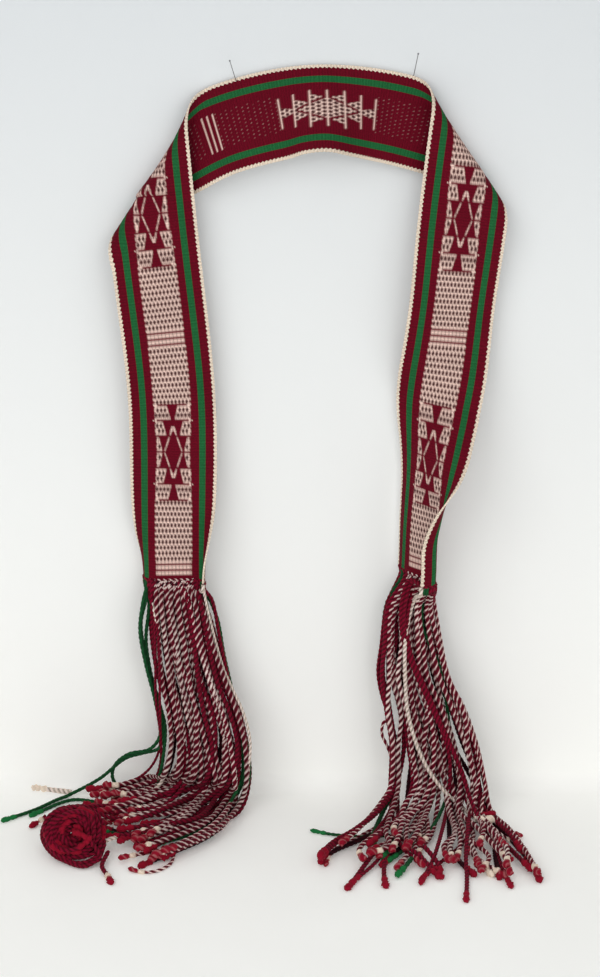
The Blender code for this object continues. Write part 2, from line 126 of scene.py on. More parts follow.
@dataclass(frozen=True)
class WovenWool:
    """Worsted wool, dyed in the yarn and woven warp-faced: matt, with fine ribs along the warp.

    The yarns' colours come from the mesh, where the chart puts them. The fine ribs are one warp
    yarn wide and the ridges across are one pick apart, so the eye sees a grain and no gloss.
    """

    warp_mm: float = 0.95
    pick_mm: float = 2.9
    roughness: float = 0.88
    sheen: float = 0.0
    relief_mm: float = 0.25
    shade: float = 0.30

    def build(self) -> bpy.types.Material:
        """The finish as a material: colour from the chart, ribs and ridges in colour and bump."""
        material, tree, shader = new_material("woven_wool")
        colour = node(tree, "ShaderNodeAttribute", attribute_name="yarn").outputs["Color"]
        place = node(tree, "ShaderNodeUVMap", uv_map="cloth").outputs["UV"]
        split = node(tree, "ShaderNodeSeparateXYZ", {0: place}).outputs
        warp = self.wave(tree, split["X"], 1000.0 / self.warp_mm)
        pick = self.wave(tree, split["Y"], 1000.0 / self.pick_mm)
        grain = node(
            tree, "ShaderNodeTexNoise", {"Vector": place, "Scale": 900.0, "Detail": 3.0, "Roughness": 0.6}
        ).outputs["Fac"]
        cloud = node(
            tree, "ShaderNodeTexNoise", {"Vector": place, "Scale": 28.0, "Detail": 3.0}
        ).outputs["Fac"]
        ribs = node(tree, "ShaderNodeMath", {0: warp, 1: 0.5}, operation="MULTIPLY").outputs[0]
        ridges = node(
            tree, "ShaderNodeMath", {0: pick, 1: 0.5, 2: ribs}, operation="MULTIPLY_ADD"
        ).outputs[0]
        # painted shade and light of the weave: the grooves between ribs and between picks are darkened, the
        # ridge tops a little lightened
        dark = node(
            tree,
            "ShaderNodeMapRange",
            {"Value": ridges, "From Min": 0.0, "From Max": 1.0, "To Min": 1.0 - self.shade, "To Max": 1.06},
        ).outputs[0]
        fleck = node(
            tree,
            "ShaderNodeMapRange",
            {"Value": grain, "From Min": 0.3, "From Max": 0.7, "To Min": 0.72, "To Max": 1.18},
        ).outputs[0]
        patch = node(
            tree,
            "ShaderNodeMapRange",
            {"Value": cloud, "From Min": 0.3, "From Max": 0.7, "To Min": 0.93, "To Max": 1.05},
        ).outputs[0]
        both = node(tree, "ShaderNodeMath", {0: dark, 1: fleck}, operation="MULTIPLY").outputs[0]
        three = node(tree, "ShaderNodeMath", {0: both, 1: patch}, operation="MULTIPLY").outputs[0]
        toned = node(tree, "ShaderNodeVectorMath", {0: colour, 1: three}, operation="MULTIPLY").outputs[0]
        height = node(
            tree, "ShaderNodeMath", {0: grain, 1: 0.5, 2: ridges}, operation="MULTIPLY_ADD"
        ).outputs[0]
        bump = node(
            tree, "ShaderNodeBump", {"Height": height, "Distance": self.relief_mm * MM, "Strength": 0.8}
        ).outputs["Normal"]
        tree.links.new(toned, shader.inputs["Base Color"])
        tree.links.new(bump, shader.inputs["Normal"])
        shader.inputs["Roughness"].default_value = self.roughness
        shader.inputs["Sheen Weight"].default_value = self.sheen
        shader.inputs["Sheen Roughness"].default_value = 0.6
        shader.inputs["Specular IOR Level"].default_value = 0.12
        return material

    @staticmethod
    def wave(tree: bpy.types.NodeTree, value: Any, per_metre: float) -> Any:
        """A wave from 0 to 1 along one direction.

        Args:
            tree: the node tree.
            value: the distance, in metres.
            per_metre: how many waves a metre holds.

        Returns:
            The socket with the wave: half of one plus the sine of the turned distance.
        """
        turn = node(tree, "ShaderNodeMath", {0: value, 1: per_metre * math.tau}, operation="MULTIPLY")
        sine = node(tree, "ShaderNodeMath", {0: turn.outputs[0]}, operation="SINE")
        half = node(tree, "ShaderNodeMath", {0: sine.outputs[0], 1: 0.5, 2: 0.5}, operation="MULTIPLY_ADD")
        return half.outputs[0]


@dataclass(frozen=True)
class PliedWool:
    """Wool cord plied from two dyed strands: matt and a little hairy, so that its edges look soft.

    The strands' colours come from the mesh, and a fine noise stands for the fibres.
    """

    fibre_mm: float = 0.5
    roughness: float = 0.9
    sheen: float = 0.02

    def build(self) -> bpy.types.Material:
        """The finish as a material: strand colours with a fibre noise in colour and bump."""
        material, tree, shader = new_material("plied_wool")
        colour = node(tree, "ShaderNodeAttribute", attribute_name="yarn").outputs["Color"]
        place = node(tree, "ShaderNodeTexCoord").outputs["Object"]
        fibre = node(
            tree,
            "ShaderNodeTexNoise",
            {"Vector": place, "Scale": 1.0 / (self.fibre_mm * MM), "Detail": 2.0, "Roughness": 0.6},
        ).outputs["Fac"]
        tone = node(
            tree,
            "ShaderNodeMapRange",
            {"Value": fibre, "From Min": 0.3, "From Max": 0.7, "To Min": 0.72, "To Max": 1.15},
        ).outputs[0]
        toned = node(tree, "ShaderNodeVectorMath", {0: colour, 1: tone}, operation="MULTIPLY").outputs[0]
        bump = node(
            tree, "ShaderNodeBump", {"Height": fibre, "Distance": 0.3 * MM, "Strength": 0.6}
        ).outputs["Normal"]
        tree.links.new(toned, shader.inputs["Base Color"])
        tree.links.new(bump, shader.inputs["Normal"])
        shader.inputs["Roughness"].default_value = self.roughness
        shader.inputs["Sheen Weight"].default_value = self.sheen
        shader.inputs["Sheen Roughness"].default_value = 0.6
        shader.inputs["Specular IOR Level"].default_value = 0.12
        return material


@dataclass(frozen=True)
class DrawnSteel:
    """Nickel-plated drawn steel wire: a grey metal with fine lines from the die."""

    colour: str = "#8b8c90"
    roughness: float = 0.34

    def build(self) -> bpy.types.Material:
        """The finish as a material: an even metal with a faint noise in its roughness."""
        material, tree, shader = new_material("drawn_steel")
        place = node(tree, "ShaderNodeTexCoord").outputs["Object"]
        lines = node(
            tree, "ShaderNodeTexNoise", {"Vector": place, "Scale": 1800.0, "Detail": 2.0}
        ).outputs["Fac"]
        rough = node(
            tree,
            "ShaderNodeMapRange",
            {"Value": lines, "To Min": self.roughness - 0.08, "To Max": self.roughness + 0.08},
        ).outputs[0]
        tree.links.new(rough, shader.inputs["Roughness"])
        shader.inputs["Base Color"].default_value = linear(self.colour)
        shader.inputs["Metallic"].default_value = 1.0
        return material


@dataclass(frozen=True)
class BackdropCloth:
    """A pale cotton sheet for the wall and floor: matt, with faint soft creases.

    Its colour comes from the mesh. A little glow of its own stands for the lamps that light only it.
    """

    name: str
    glow: float = 0.08
    crease: float = 0.6
    see_through_back: bool = False

    def build(self) -> bpy.types.Material:
        """The finish as a material, which is clear from behind where that is asked for."""
        material, tree, shader = new_material(self.name)
        place = node(tree, "ShaderNodeTexCoord").outputs["Object"]
        broad = node(
            tree, "ShaderNodeTexNoise", {"Vector": place, "Scale": 4.5, "Detail": 2.0, "Distortion": 0.6}
        ).outputs["Fac"]
        fine = node(
            tree, "ShaderNodeTexNoise", {"Vector": place, "Scale": 900.0, "Detail": 2.0}
        ).outputs["Fac"]
        height = node(
            tree, "ShaderNodeMath", {0: fine, 1: 0.01, 2: broad}, operation="MULTIPLY_ADD"
        ).outputs[0]
        bump = node(
            tree, "ShaderNodeBump", {"Height": height, "Distance": 0.012, "Strength": self.crease}
        ).outputs["Normal"]
        colour = node(tree, "ShaderNodeAttribute", attribute_name="yarn").outputs["Color"]
        tree.links.new(colour, shader.inputs["Base Color"])
        tree.links.new(colour, shader.inputs["Emission Color"])
        shader.inputs["Emission Strength"].default_value = self.glow
        shader.inputs["Roughness"].default_value = 0.95
        shader.inputs["Specular IOR Level"].default_value = 0.1
        tree.links.new(bump, shader.inputs["Normal"])
        if self.see_through_back:
            clear = node(tree, "ShaderNodeBsdfTransparent")
            facing = node(tree, "ShaderNodeNewGeometry").outputs["Backfacing"]
            mix = node(tree, "ShaderNodeMixShader", {0: facing, 1: shader.outputs[0], 2: clear.outputs[0]})
            tree.links.new(mix.outputs[0], tree.nodes["Material Output"].inputs["Surface"])
        return material


def mesh_piece(
    name: str, points: np.ndarray, quads: np.ndarray, colours: np.ndarray | None, cloth: np.ndarray | None
) -> bpy.types.Object:
    """Puts arrays of points and four-sided faces into a mesh object at the origin.

    Args:
        name: the piece's name.
        points: places, one row each, in metres.
        quads: four point numbers a row.
        colours: linear colour of each point or of each face's corner, or None.
        cloth: place of each point on the flat cloth, in metres, or None.

    Returns:
        The new object.
    """
    mesh = bpy.data.meshes.new(name)
    mesh.vertices.add(len(points))
    mesh.vertices.foreach_set("co", np.ascontiguousarray(points, np.float32).ravel())
    mesh.loops.add(quads.size)
    mesh.loops.foreach_set("vertex_index", np.ascontiguousarray(quads, np.int32).ravel())
    mesh.polygons.add(len(quads))
    mesh.polygons.foreach_set("loop_start", np.arange(0, quads.size, 4, dtype=np.int32))
    mesh.update(calc_edges=True)
    if colours is not None:
        domain = "POINT" if len(colours) == len(points) else "CORNER"
        layer = mesh.color_attributes.new("yarn", "FLOAT_COLOR", domain)
        layer.data.foreach_set("color", np.ascontiguousarray(colours, np.float32).ravel())
    if cloth is not None:
        layer = mesh.uv_layers.new(name="cloth")
        layer.data.foreach_set("uv", np.ascontiguousarray(cloth[quads.ravel()], np.float32).ravel())
    mesh.shade_smooth()
    piece = bpy.data.objects.new(name, mesh)
    bpy.context.scene.collection.objects.link(piece)
    return piece


def ease(share: np.ndarray) -> np.ndarray:
    """A smooth step: three times the square less twice the cube, held between 0 and 1."""
    share = np.clip(share, 0.0, 1.0)
    return share * share * (3.0 - 2.0 * share)


def curve_through(places: np.ndarray, values: np.ndarray, at: np.ndarray) -> np.ndarray:
    """A smooth curve through given values.

    Args:
        places: increasing places of the values.
        values: one row, or one number, for each place.
        at: where the curve is read.

    Returns:
        The cubic with the slopes of its neighbours at each place, read at the wanted places.
    """
    slopes = np.gradient(values, places, axis=0)
    index = np.clip(np.searchsorted(places, at) - 1, 0, len(places) - 2)
    step = places[index + 1] - places[index]
    share = np.clip((at - places[index]) / step, 0.0, 1.0)
    if values.ndim > 1:
        step, share = step[:, None], share[:, None]
    return (
        (2 * share**3 - 3 * share**2 + 1) * values[index]
        + (share**3 - 2 * share**2 + share) * step * slopes[index]
        + (3 * share**2 - 2 * share**3) * values[index + 1]
        + (share**3 - share**2) * step * slopes[index + 1]
    )


@dataclass(frozen=True)
class CornerFold:
    """A slanting fold at an upper corner, where the cloth rolls forward over a round."""

    point: tuple[float, float]
    slope: float
    radius: float

    def roll(self, flat: np.ndarray, rise: np.ndarray) -> tuple[np.ndarray, np.ndarray]:
        """Rolls what lies past the fold's start line over a half round.

        A point past the line goes round by its distance over the radius, and beyond a half turn
        it runs back flat in front. Its rise above the cloth turns with it.

        Args:
            flat: points in the wall's plane.
            rise: how far each stands out of the cloth.

        Returns:
            The points in the wall's plane, and how far each stands out from it.
        """
        slope = math.radians(self.slope)
        line = np.array([math.cos(slope), math.sin(slope)])
        side = np.array([-line[1], line[0]])
        from_line = flat - np.array(self.point)
        past, along = from_line @ side, from_line @ line
        half_round = math.pi * self.radius
        angle = np.clip(past, 0.0, half_round) / self.radius
        turned = np.where(past > half_round, half_round - past, self.radius * np.sin(angle))
        reach = np.where(past < 0.0, past, turned) - rise * np.sin(angle)
        out = self.radius * (1.0 - np.cos(angle)) + rise * np.cos(angle)
        return np.array(self.point) + along[..., None] * line + reach[..., None] * side, out


@dataclass(frozen=True)
class BandShape:
    """The shape in which the cloth hangs, the same as its solid's.

    The upper edge's heading is summed along its length. The lines across start from that edge, with
    a lean behind and turned edges on the legs, and the corners are then rolled over.
    """

    width: float = 0.0889
    left_length: float = 0.638
    right_length: float = 0.609
    edge_start: tuple[float, float] = (0.0, 0.0185)
    wall_gap: float = 0.003
    back_reach: float = 0.23
    back_limit: float = 0.016
    left_fold: CornerFold = CornerFold((-0.1228, -0.0254), 60.3, 0.012)
    right_fold: CornerFold = CornerFold((0.0930, -0.0116), -56.3, 0.012)
    course_columns: tuple[str, ...] = ("distance", "heading", "slant", "lean")
    course: tuple[tuple[float, ...], ...] = (
        (-0.660, 30.6, 30.6, 0.0),
        (-0.480, 30.6, 30.6, 0.0),
        (-0.400, 25.8, 25.8, 0.0),
        (-0.215, 25.8, 25.8, 0.0),
        (-0.175, 25.8, 25.8, 9.0),
        (-0.145, 25.0, 21.0, 16.0),
        (-0.115, 20.0, 16.5, 19.0),
        (-0.085, 15.0, 13.5, 18.0),
        (-0.055, 10.5, 11.0, 20.0),
        (-0.025, 5.0, 4.0, 29.0),
        (0.000, 0.0, 2.5, 31.0),
        (0.030, -5.0, 0.5, 20.0),
        (0.060, -9.5, -7.0, 14.0),
        (0.085, -13.5, -12.5, 12.0),
        (0.110, -15.6, -15.6, 10.0),
        (0.145, -15.6, -15.6, 5.0),
        (0.180, -16.2, -16.2, 0.0),
        (0.360, -16.2, -16.2, 0.0),
        (0.420, -14.5, -14.5, 0.0),
        (0.470, -15.5, -15.5, 0.0),
        (0.530, -20.0, -20.0, 0.0),
        (0.640, -20.5, -20.5, 0.0),
    )
    turn_columns: tuple[str, ...] = (
        "distance", "yaw", "inner_turn", "inner_width", "outer_turn", "outer_width",
    )
    turns: tuple[tuple[float, ...], ...] = (
        (-0.660, 3.0, 118.0, 0.026, -100.0, 0.030),
        (-0.615, 3.0, 102.0, 0.026, -84.0, 0.030),
        (-0.590, 2.0, 74.0, 0.025, -56.0, 0.028),
        (-0.560, 1.0, 34.0, 0.024, -30.0, 0.026),
        (-0.510, 0.0, 0.0, 0.024, 0.0, 0.026),
        (-0.250, 0.0, 0.0, 0.024, 0.0, 0.026),
        (0.160, 0.0, 0.0, 0.040, 0.0, 0.024),
        (0.230, -4.0, 0.0, 0.040, 0.0, 0.024),
        (0.340, -11.0, 0.0, 0.040, 0.0, 0.024),
        (0.385, 0.0, 0.0, 0.040, 0.0, 0.024),
        (0.410, 12.0, -4.0, 0.040, -4.0, 0.024),
        (0.430, 20.0, -8.0, 0.042, -6.0, 0.024),
        (0.450, 30.0, -10.0, 0.042, -12.0, 0.024),
        (0.470, 38.0, -14.0, 0.044, -14.0, 0.024),
        (0.490, 44.0, -16.0, 0.044, 10.0, 0.026),
        (0.510, 46.0, -20.0, 0.044, 50.0, 0.030),
        (0.535, 45.0, -24.0, 0.044, 96.0, 0.034),
        (0.560, 42.0, -30.0, 0.044, 118.0, 0.040),
        (0.600, 40.0, -36.0, 0.044, 128.0, 0.040),
        (0.640, 40.0, -36.0, 0.044, 130.0, 0.040),
    )

    def course_at(self, name: str, at: np.ndarray) -> np.ndarray:
        """One column of the course, eased between its rows."""
        rows = np.array(self.course)
        return curve_through(rows[:, 0], rows[:, self.course_columns.index(name)], at)

    def turn_at(self, name: str, at: np.ndarray) -> np.ndarray:
        """One column of the turns, eased between its rows, as a column array."""
        rows = np.array(self.turns)
        return curve_through(rows[:, 0], rows[:, self.turn_columns.index(name)], at)[:, None]

    def upper_edge(self, stations: np.ndarray) -> np.ndarray:
        """The upper edge in the wall's plane: the sum of its unit headings.

        Args:
            stations: distances along the band from its middle.

        Returns:
            A point in the wall's plane for each.
        """
        fine = np.linspace(self.course[0][0], self.course[-1][0], 1281)
        heading = np.radians(self.course_at("heading", fine))
        along = np.stack([np.cos(heading), np.sin(heading)], axis=-1) * (fine[1] - fine[0])
        path = np.concatenate([[[0.0, 0.0]], np.cumsum((along[1:] + along[:-1]) / 2, axis=0)])
        middle = np.array([np.interp(0.0, fine, path[:, axis]) for axis in (0, 1)])
        path = path - middle + np.array(self.edge_start)
        return np.stack([np.interp(stations, fine, path[:, axis]) for axis in (0, 1)], axis=-1)

    def section(self, stations: np.ndarray, across: np.ndarray) -> tuple[np.ndarray, np.ndarray]:
        """The line across: its slope, the lean less the edges' turns, is summed over the width.

        Args:
            stations: distances along the band.
            across: distances down from the upper edge, the same for all, or a row for each station.

        Returns:
            How far each point goes down the slant, and how far it stands out.
        """
        fine = np.linspace(0.0, self.width, 241)
        lean = self.course_at("lean", stations)[:, None]
        inner = ease(1.0 - fine[None, :] / self.turn_at("inner_width", stations))
        outer_width = self.turn_at("outer_width", stations)
        outer = ease((fine[None, :] - (self.width - outer_width)) / outer_width)
        turns = outer * self.turn_at("outer_turn", stations) - inner * self.turn_at("inner_turn", stations)
        slope = np.radians(lean - self.turn_at("yaw", stations) - turns)
        step = fine[1] - fine[0]
        rise, down = np.zeros(slope.shape), np.zeros(slope.shape)
        rise[:, 1:] = np.cumsum((np.sin(slope[:, 1:]) + np.sin(slope[:, :-1])) / 2 * step, axis=1)
        down[:, 1:] = np.cumsum((np.cos(slope[:, 1:]) + np.cos(slope[:, :-1])) / 2 * step, axis=1)
        at_back = np.abs(stations[:, None]) < self.back_reach
        anchor = np.where(at_back, 0.0, self.width / 2)
        held = np.argmin(np.abs(fine[None, :] - anchor), axis=1)
        rows = np.arange(len(stations))
        down = down - down[rows, held][:, None] + anchor
        rise = rise - rise[rows, held][:, None]
        excess = np.maximum(rise.max(axis=1, keepdims=True) - self.back_limit, 0.0)
        rise = np.where(at_back, rise, rise - excess)
        place = np.broadcast_to(across, (len(stations), np.shape(across)[-1])) / step
        index = np.clip(place.astype(int), 0, len(fine) - 2)
        share = place - index
        below = [np.take_along_axis(values, index, 1) for values in (down, rise)]
        above = [np.take_along_axis(values, index + 1, 1) for values in (down, rise)]
        both = [low * (1 - share) + high * share for low, high in zip(below, above)]
        return both[0], both[1]

    def surface(self, stations: np.ndarray, across: np.ndarray) -> np.ndarray:
        """The middle of the cloth as a grid of points.

        Args:
            stations: distances along the band.
            across: distances down from the upper edge.

        Returns:
            Points, stations along by places across.
        """
        slant = np.radians(self.course_at("slant", stations))
        downward = np.stack([np.sin(slant), -np.cos(slant)], axis=-1)
        down, rise = self.section(stations, across)
        flat = self.upper_edge(stations)[:, None, :] + down[..., None] * downward[:, None, :]
        left, left_out = self.left_fold.roll(flat, rise)
        right, right_out = self.right_fold.roll(flat, rise)
        is_left = (stations < 0.0)[:, None]
        place = np.where(is_left[..., None], left, right)
        out = np.where(is_left, left_out, right_out)
        return np.stack([place[..., 0], -self.wall_gap - out, place[..., 1]], axis=-1)


def grid_normals(grid: np.ndarray) -> np.ndarray:
    """Unit normals of a grid of points: the cross product of its slopes along and across."""
    normal = np.cross(np.gradient(grid, axis=0), np.gradient(grid, axis=1))
    return normal / np.linalg.norm(normal, axis=-1, keepdims=True)


@dataclass(frozen=True)
class PickUpChart:
    """The pick-up pattern, charted in millimetres from the middle of the band's length.

    Along the band, motifs and groups of bars take turns. Between them lozenge dots stand on a
    cream ground, in rows that are set over by half. A motif has three blocks on each side of its
    middle line, with trapezoids in the outer two and small triangles in the inner one, round a
    thin diamond. The reverse side is the complement.
    """

    motifs: tuple[float, ...] = (-500.0, -249.7, 0.0, 235.8, 478.4)
    bars: tuple[float, ...] = (-628.0, -376.0, -130.7, 130.7, 354.6, 596.5)
    cell: float = 0.9375
    block: float = 17.35
    block_rows: int = 12
    row: float = 6.0
    row_steps: int = 4
    bar_pitch: float = 6.2
    line_half: float = 1.35
    field_half: float = 17.9
    line_reach: tuple[float, ...] = (18.4, 18.6, 16.4, 14.8)
    trapezoid_dots: tuple[tuple[int, int, tuple[int, ...]], ...] = (
        (2, 4, (18, 14, 10, 6)),
        (2, 8, (16, 12, 8)),
        (1, 4, (15, 11)),
        (1, 8, (17, 13)),
        (0, 4, (15,)),
    )
    scallop: float = 2.6
    edge_wave: float = 0.7
    inner_edges: tuple[tuple[float, float], ...] = ((11.0, 3.8), (6.6, 4.2), (1.9, 3.9))
    outer_edges: tuple[float, ...] = (16.2, 17.3, 17.7)
    diamond_half: float = 9.0
    diamond_reach: float = 28.6
    diamond_foot: float = 22.0
    diamond_lines: tuple[float, float] = (0.62, 1.15)
    diamond_strength: float = 0.92
    stud_at: float = 19.7
    stud_radius: float = 0.55
    dot_half: tuple[float, float] = (1.35, 2.7)
    dot_fill: float = 1.5
    reverse_edges: tuple[tuple[float, float], ...] = ((10.6, 4.0), (6.2, 4.2), (1.6, 3.6))
    reverse_diamond: tuple[float, float] = (11.5, 34.0)
    reverse_outline: tuple[float, float] = (1.1, 31.0)
    reverse_line_half: float = 1.1
    reverse_dot_clear: float = 1.3
    reverse_bars: tuple[float, float] = (18.2, 2.3)
    speck_half: tuple[float, float] = (0.9, 1.4)
    speck_strength: tuple[float, float] = (0.17, 0.16)

    def sections(self, start: float, end: float) -> list[tuple[float, float, int]]:
        """The stretches of motif, bars and ground, and how many mesh rows each takes.

        Args:
            start: where the cloth starts.
            end: where it ends.

        Returns:
            First place, last place and number of rows of each stretch.
        """
        motif, bars = 3 * self.block, 1.5 * self.bar_pitch
        solid = sorted(
            [(at - motif, at + motif, 6 * self.block_rows) for at in self.motifs]
            + [(max(at - bars, start), min(at + bars, end), 12) for at in self.bars]
        )
        stretches = []
        for before, after in zip(solid[:-1], solid[1:]):
            count = round((after[0] - before[1]) / self.row) * self.row_steps
            stretches += [before, (before[1], after[0], count)]
        stretches.append(solid[-1])
        if solid[-1][1] < end:
            stretches.append((solid[-1][1], end, 2))
        return stretches

    def stations(self, start: float, end: float) -> np.ndarray:
        """Places of the mesh's rows, so that each dot and each line falls on a row."""
        rows = [np.linspace(first, last, count + 1)[:-1] for first, last, count in self.sections(start, end)]
        return np.concatenate(rows + [np.array([end])])

    def ground_row(self, along: np.ndarray) -> tuple[np.ndarray, np.ndarray]:
        """Which row of ground dots a place is in, and how far it is from the row's middle."""
        marks, rows, total = [], [], 0.0
        for first, last, count in self.sections(float(along.min()), float(along.max())):
            ground = min(abs(first + last - 2 * at) for at in self.motifs + self.bars) > 1.0
            marks += [first, last]
            rows += [total, total + (count / self.row_steps if ground else 0.0)]
            total = rows[-1]
        place = np.interp(along, marks, rows)
        return np.floor(place), (place - np.floor(place) - 0.5) * self.row

    @staticmethod
    def cover(inside: np.ndarray, soft: float = 0.9) -> np.ndarray:
        """How much a place is inside a shape: its signed distance over a soft edge, from 0 to 1."""
        return np.clip(inside / soft + 0.5, 0.0, 1.0)

    def dot(self, aside: np.ndarray, along: np.ndarray) -> np.ndarray:
        """Cover of a lozenge dot: its fill less the shares of its half width and half height."""
        half_width, half_height = self.dot_half
        return np.clip(self.dot_fill - aside / half_width - (along / half_height) ** 1.5, 0.0, 1.0)

    @staticmethod
    def sloping(edges: tuple[tuple[float, float], ...], block: np.ndarray, share: np.ndarray) -> np.ndarray:
        """The sloping edge of a motif's blocks.

        Args:
            edges: for each block, where its edge starts and how far it moves out.
            block: the block's number.
            share: the share of the way through the block.

        Returns:
            The start plus the share times the move.
        """
        starts, moves = np.array(edges).T
        return starts[block] + moves[block] * share

    def from_grid(self, across: np.ndarray, shift: np.ndarray) -> np.ndarray:
        """Distance across to the nearest dot of a row: four cells apart, shifted by some cells."""
        pitch = 4 * self.cell
        return np.abs((across - shift * self.cell + pitch / 2) % pitch - pitch / 2)

    def cream(self, across: np.ndarray, along: np.ndarray) -> np.ndarray:
        """Cover of the cream parts on the face, before their dots.

        Args:
            across: distance from the band's middle line.
            along: distance from the middle of its length.

        Returns:
            Cover from 0 to 1.
        """
        side = np.abs(across)
        rise = self.nearest(along, self.motifs)
        from_bar = self.nearest(along, self.bars)
        _, from_row = self.ground_row(along)
        edge = self.cover(self.field_half + self.scallop * np.abs(from_row / self.row) - side)
        block = np.clip((rise / self.block).astype(int), 0, 2)
        share = rise / self.block - block
        wave = self.edge_wave * np.abs(np.cos(share * 3 * math.pi))
        inner = self.sloping(self.inner_edges, block, share)
        outer = np.array(self.outer_edges)[block] + wave
        blocks = self.cover(side - inner) * self.cover(outer - side)
        outline = self.diamond_half * (1.0 - rise / self.diamond_reach)
        fine, heavy = self.diamond_lines
        thick = np.where(rise > self.diamond_foot, heavy, fine)
        diamond = self.cover(thick - np.abs(side - outline)) * (rise < self.diamond_reach)
        motif = np.maximum(blocks, diamond * self.diamond_strength)
        line = np.round(rise / self.block)
        reach = np.select([line == number for number in range(4)], self.line_reach, 0.0)
        on_line = self.cover(self.line_half - np.abs(rise - line * self.block)) * self.cover(reach - side)
        cream = np.where(rise < 3 * self.block, motif, edge)
        cream = np.where(line < 4, cream * (1.0 - on_line), cream)
        bar = np.abs(from_bar - np.round(from_bar / self.bar_pitch) * self.bar_pitch)
        striped = self.cover(self.field_half + 0.5 - side) * self.cover(bar - self.line_half)
        cream = np.where(from_bar < 1.5 * self.bar_pitch, striped, cream)
        past_end = (along < self.bars[0] - self.bar_pitch) | (along > self.bars[-1] + self.bar_pitch)
        stud = self.cover(self.stud_radius - np.hypot(side - self.stud_at, rise - 2 * self.block))
        return np.maximum(np.where(past_end, 0.0, cream), stud)

    @staticmethod
    def nearest(along: np.ndarray, places: tuple[float, ...]) -> np.ndarray:
        """Distance to the nearest of some places."""
        return np.min(np.abs(along[..., None] - np.array(places)), axis=-1)

    def ground_dots(self, across: np.ndarray, along: np.ndarray) -> np.ndarray:
        """Dots of the ground: rows set over by half, and none beside the motifs and bars."""
        number, from_row = self.ground_row(along)
        shift = np.where(number % 2 == 0, 2.0, 0.0)
        return self.dot(self.from_grid(across, shift), np.abs(from_row)) * (np.abs(across) < 18.0)

    def motif_dots(self, across: np.ndarray, along: np.ndarray) -> np.ndarray:
        """Dots of the trapezoids and triangles, charted in cells across and rows from the line."""
        rise = self.nearest(along, self.motifs)
        step = self.block / self.block_rows
        dots = np.zeros(np.broadcast(across, along).shape)
        for block, row, cells in self.trapezoid_dots:
            from_row = np.abs(rise - block * self.block - row * step)
            for cell in cells:
                dots = np.maximum(dots, self.dot(np.abs(np.abs(across) - cell * self.cell), from_row))
        return dots

    def reverse_dots(self, across: np.ndarray, along: np.ndarray) -> np.ndarray:
        """Dots of the reverse of a motif: three rows a block, set over by half."""
        rise = self.nearest(along, self.motifs)
        block = np.clip((rise / self.block).astype(int), 0, 2)
        place = (rise / self.block - block) * self.block_rows
        row = 2.0 + 4.0 * np.floor(place / 4.0)
        from_row = np.abs(place - row) * self.block / self.block_rows
        aside = self.from_grid(across, np.where(row == 6.0, 2.0, 0.0))
        return self.dot(aside * 0.9, from_row) * (rise < 3 * self.block)

    def face(self, across: np.ndarray, along: np.ndarray) -> tuple[np.ndarray, np.ndarray]:
        """Cover of cream yarn on the right side: the cream parts less their dark dots.

        Args:
            across: distance from the band's middle line.
            along: distance from the middle of its length.

        Returns:
            The cover, and how deep each place lies in a dot between the cream floats.
        """
        dots = np.maximum(self.ground_dots(across, along), self.motif_dots(across, along))
        cream = self.cream(across, along)
        return cream * (1.0 - dots), cream * dots

    def reverse(self, across: np.ndarray, along: np.ndarray) -> tuple[np.ndarray, np.ndarray]:
        """Cover of cream yarn on the reverse: the complement in the field, and faint specks.

        Args:
            across: distance from the band's middle line.
            along: distance from the middle of its length.

        Returns:
            The cover, and how deep each place lies in a dot between the cream floats.
        """
        cream = self.cream(across, along)
        rise = self.nearest(along, self.motifs)
        from_bar = self.nearest(along, self.bars)
        side = np.abs(across)
        line = np.round(rise / self.block)
        from_line = np.abs(rise - line * self.block)
        reach = np.select([line == number for number in range(4)], self.line_reach, 0.0)
        block = np.clip((rise / self.block).astype(int), 0, 2)
        inner = self.sloping(self.reverse_edges, block, rise / self.block - block)
        half, length = self.reverse_diamond
        line_half, line_end = self.reverse_outline
        drawn = self.cover(line_half - np.abs(side - half * (1.0 - rise / length))) * (rise < line_end)
        dots = self.reverse_dots(across, along) * (from_line > self.reverse_dot_clear)
        inside = self.cover(inner - side) * (1.0 - drawn) * (rise < 3 * self.block)
        crossbar = self.cover(self.reverse_line_half - from_line) * self.cover(reach - side)
        crossbar = crossbar * (rise < 3 * self.block + 2.0)
        bar = np.abs(from_bar - np.round(from_bar / self.bar_pitch) * self.bar_pitch)
        group_half, gap_half = self.reverse_bars
        group = self.cover(group_half - side) * self.cover(bar - gap_half)
        group = group * (from_bar < 1.5 * self.bar_pitch)
        number, from_row = self.ground_row(along)
        half_width, half_height = self.speck_half
        aside = self.from_grid(across, np.where(number % 2 == 0, 2.0, 0.0))
        speck = np.clip(1.0 - aside / half_width, 0.0, 1.0)
        speck = speck * np.clip(1.0 - np.abs(from_row) / half_height, 0.0, 1.0)
        speck = speck * cream * (rise > 3 * self.block)
        strength, spread = self.speck_strength
        fade = strength + spread * np.sin(number * 1.7 + across * 1.3) * np.sin(across * 0.9)
        shown = np.maximum(np.maximum(inside * (1.0 - dots), crossbar), group)
        return np.maximum(shown, speck * fade), inside * dots * (1.0 - crossbar)


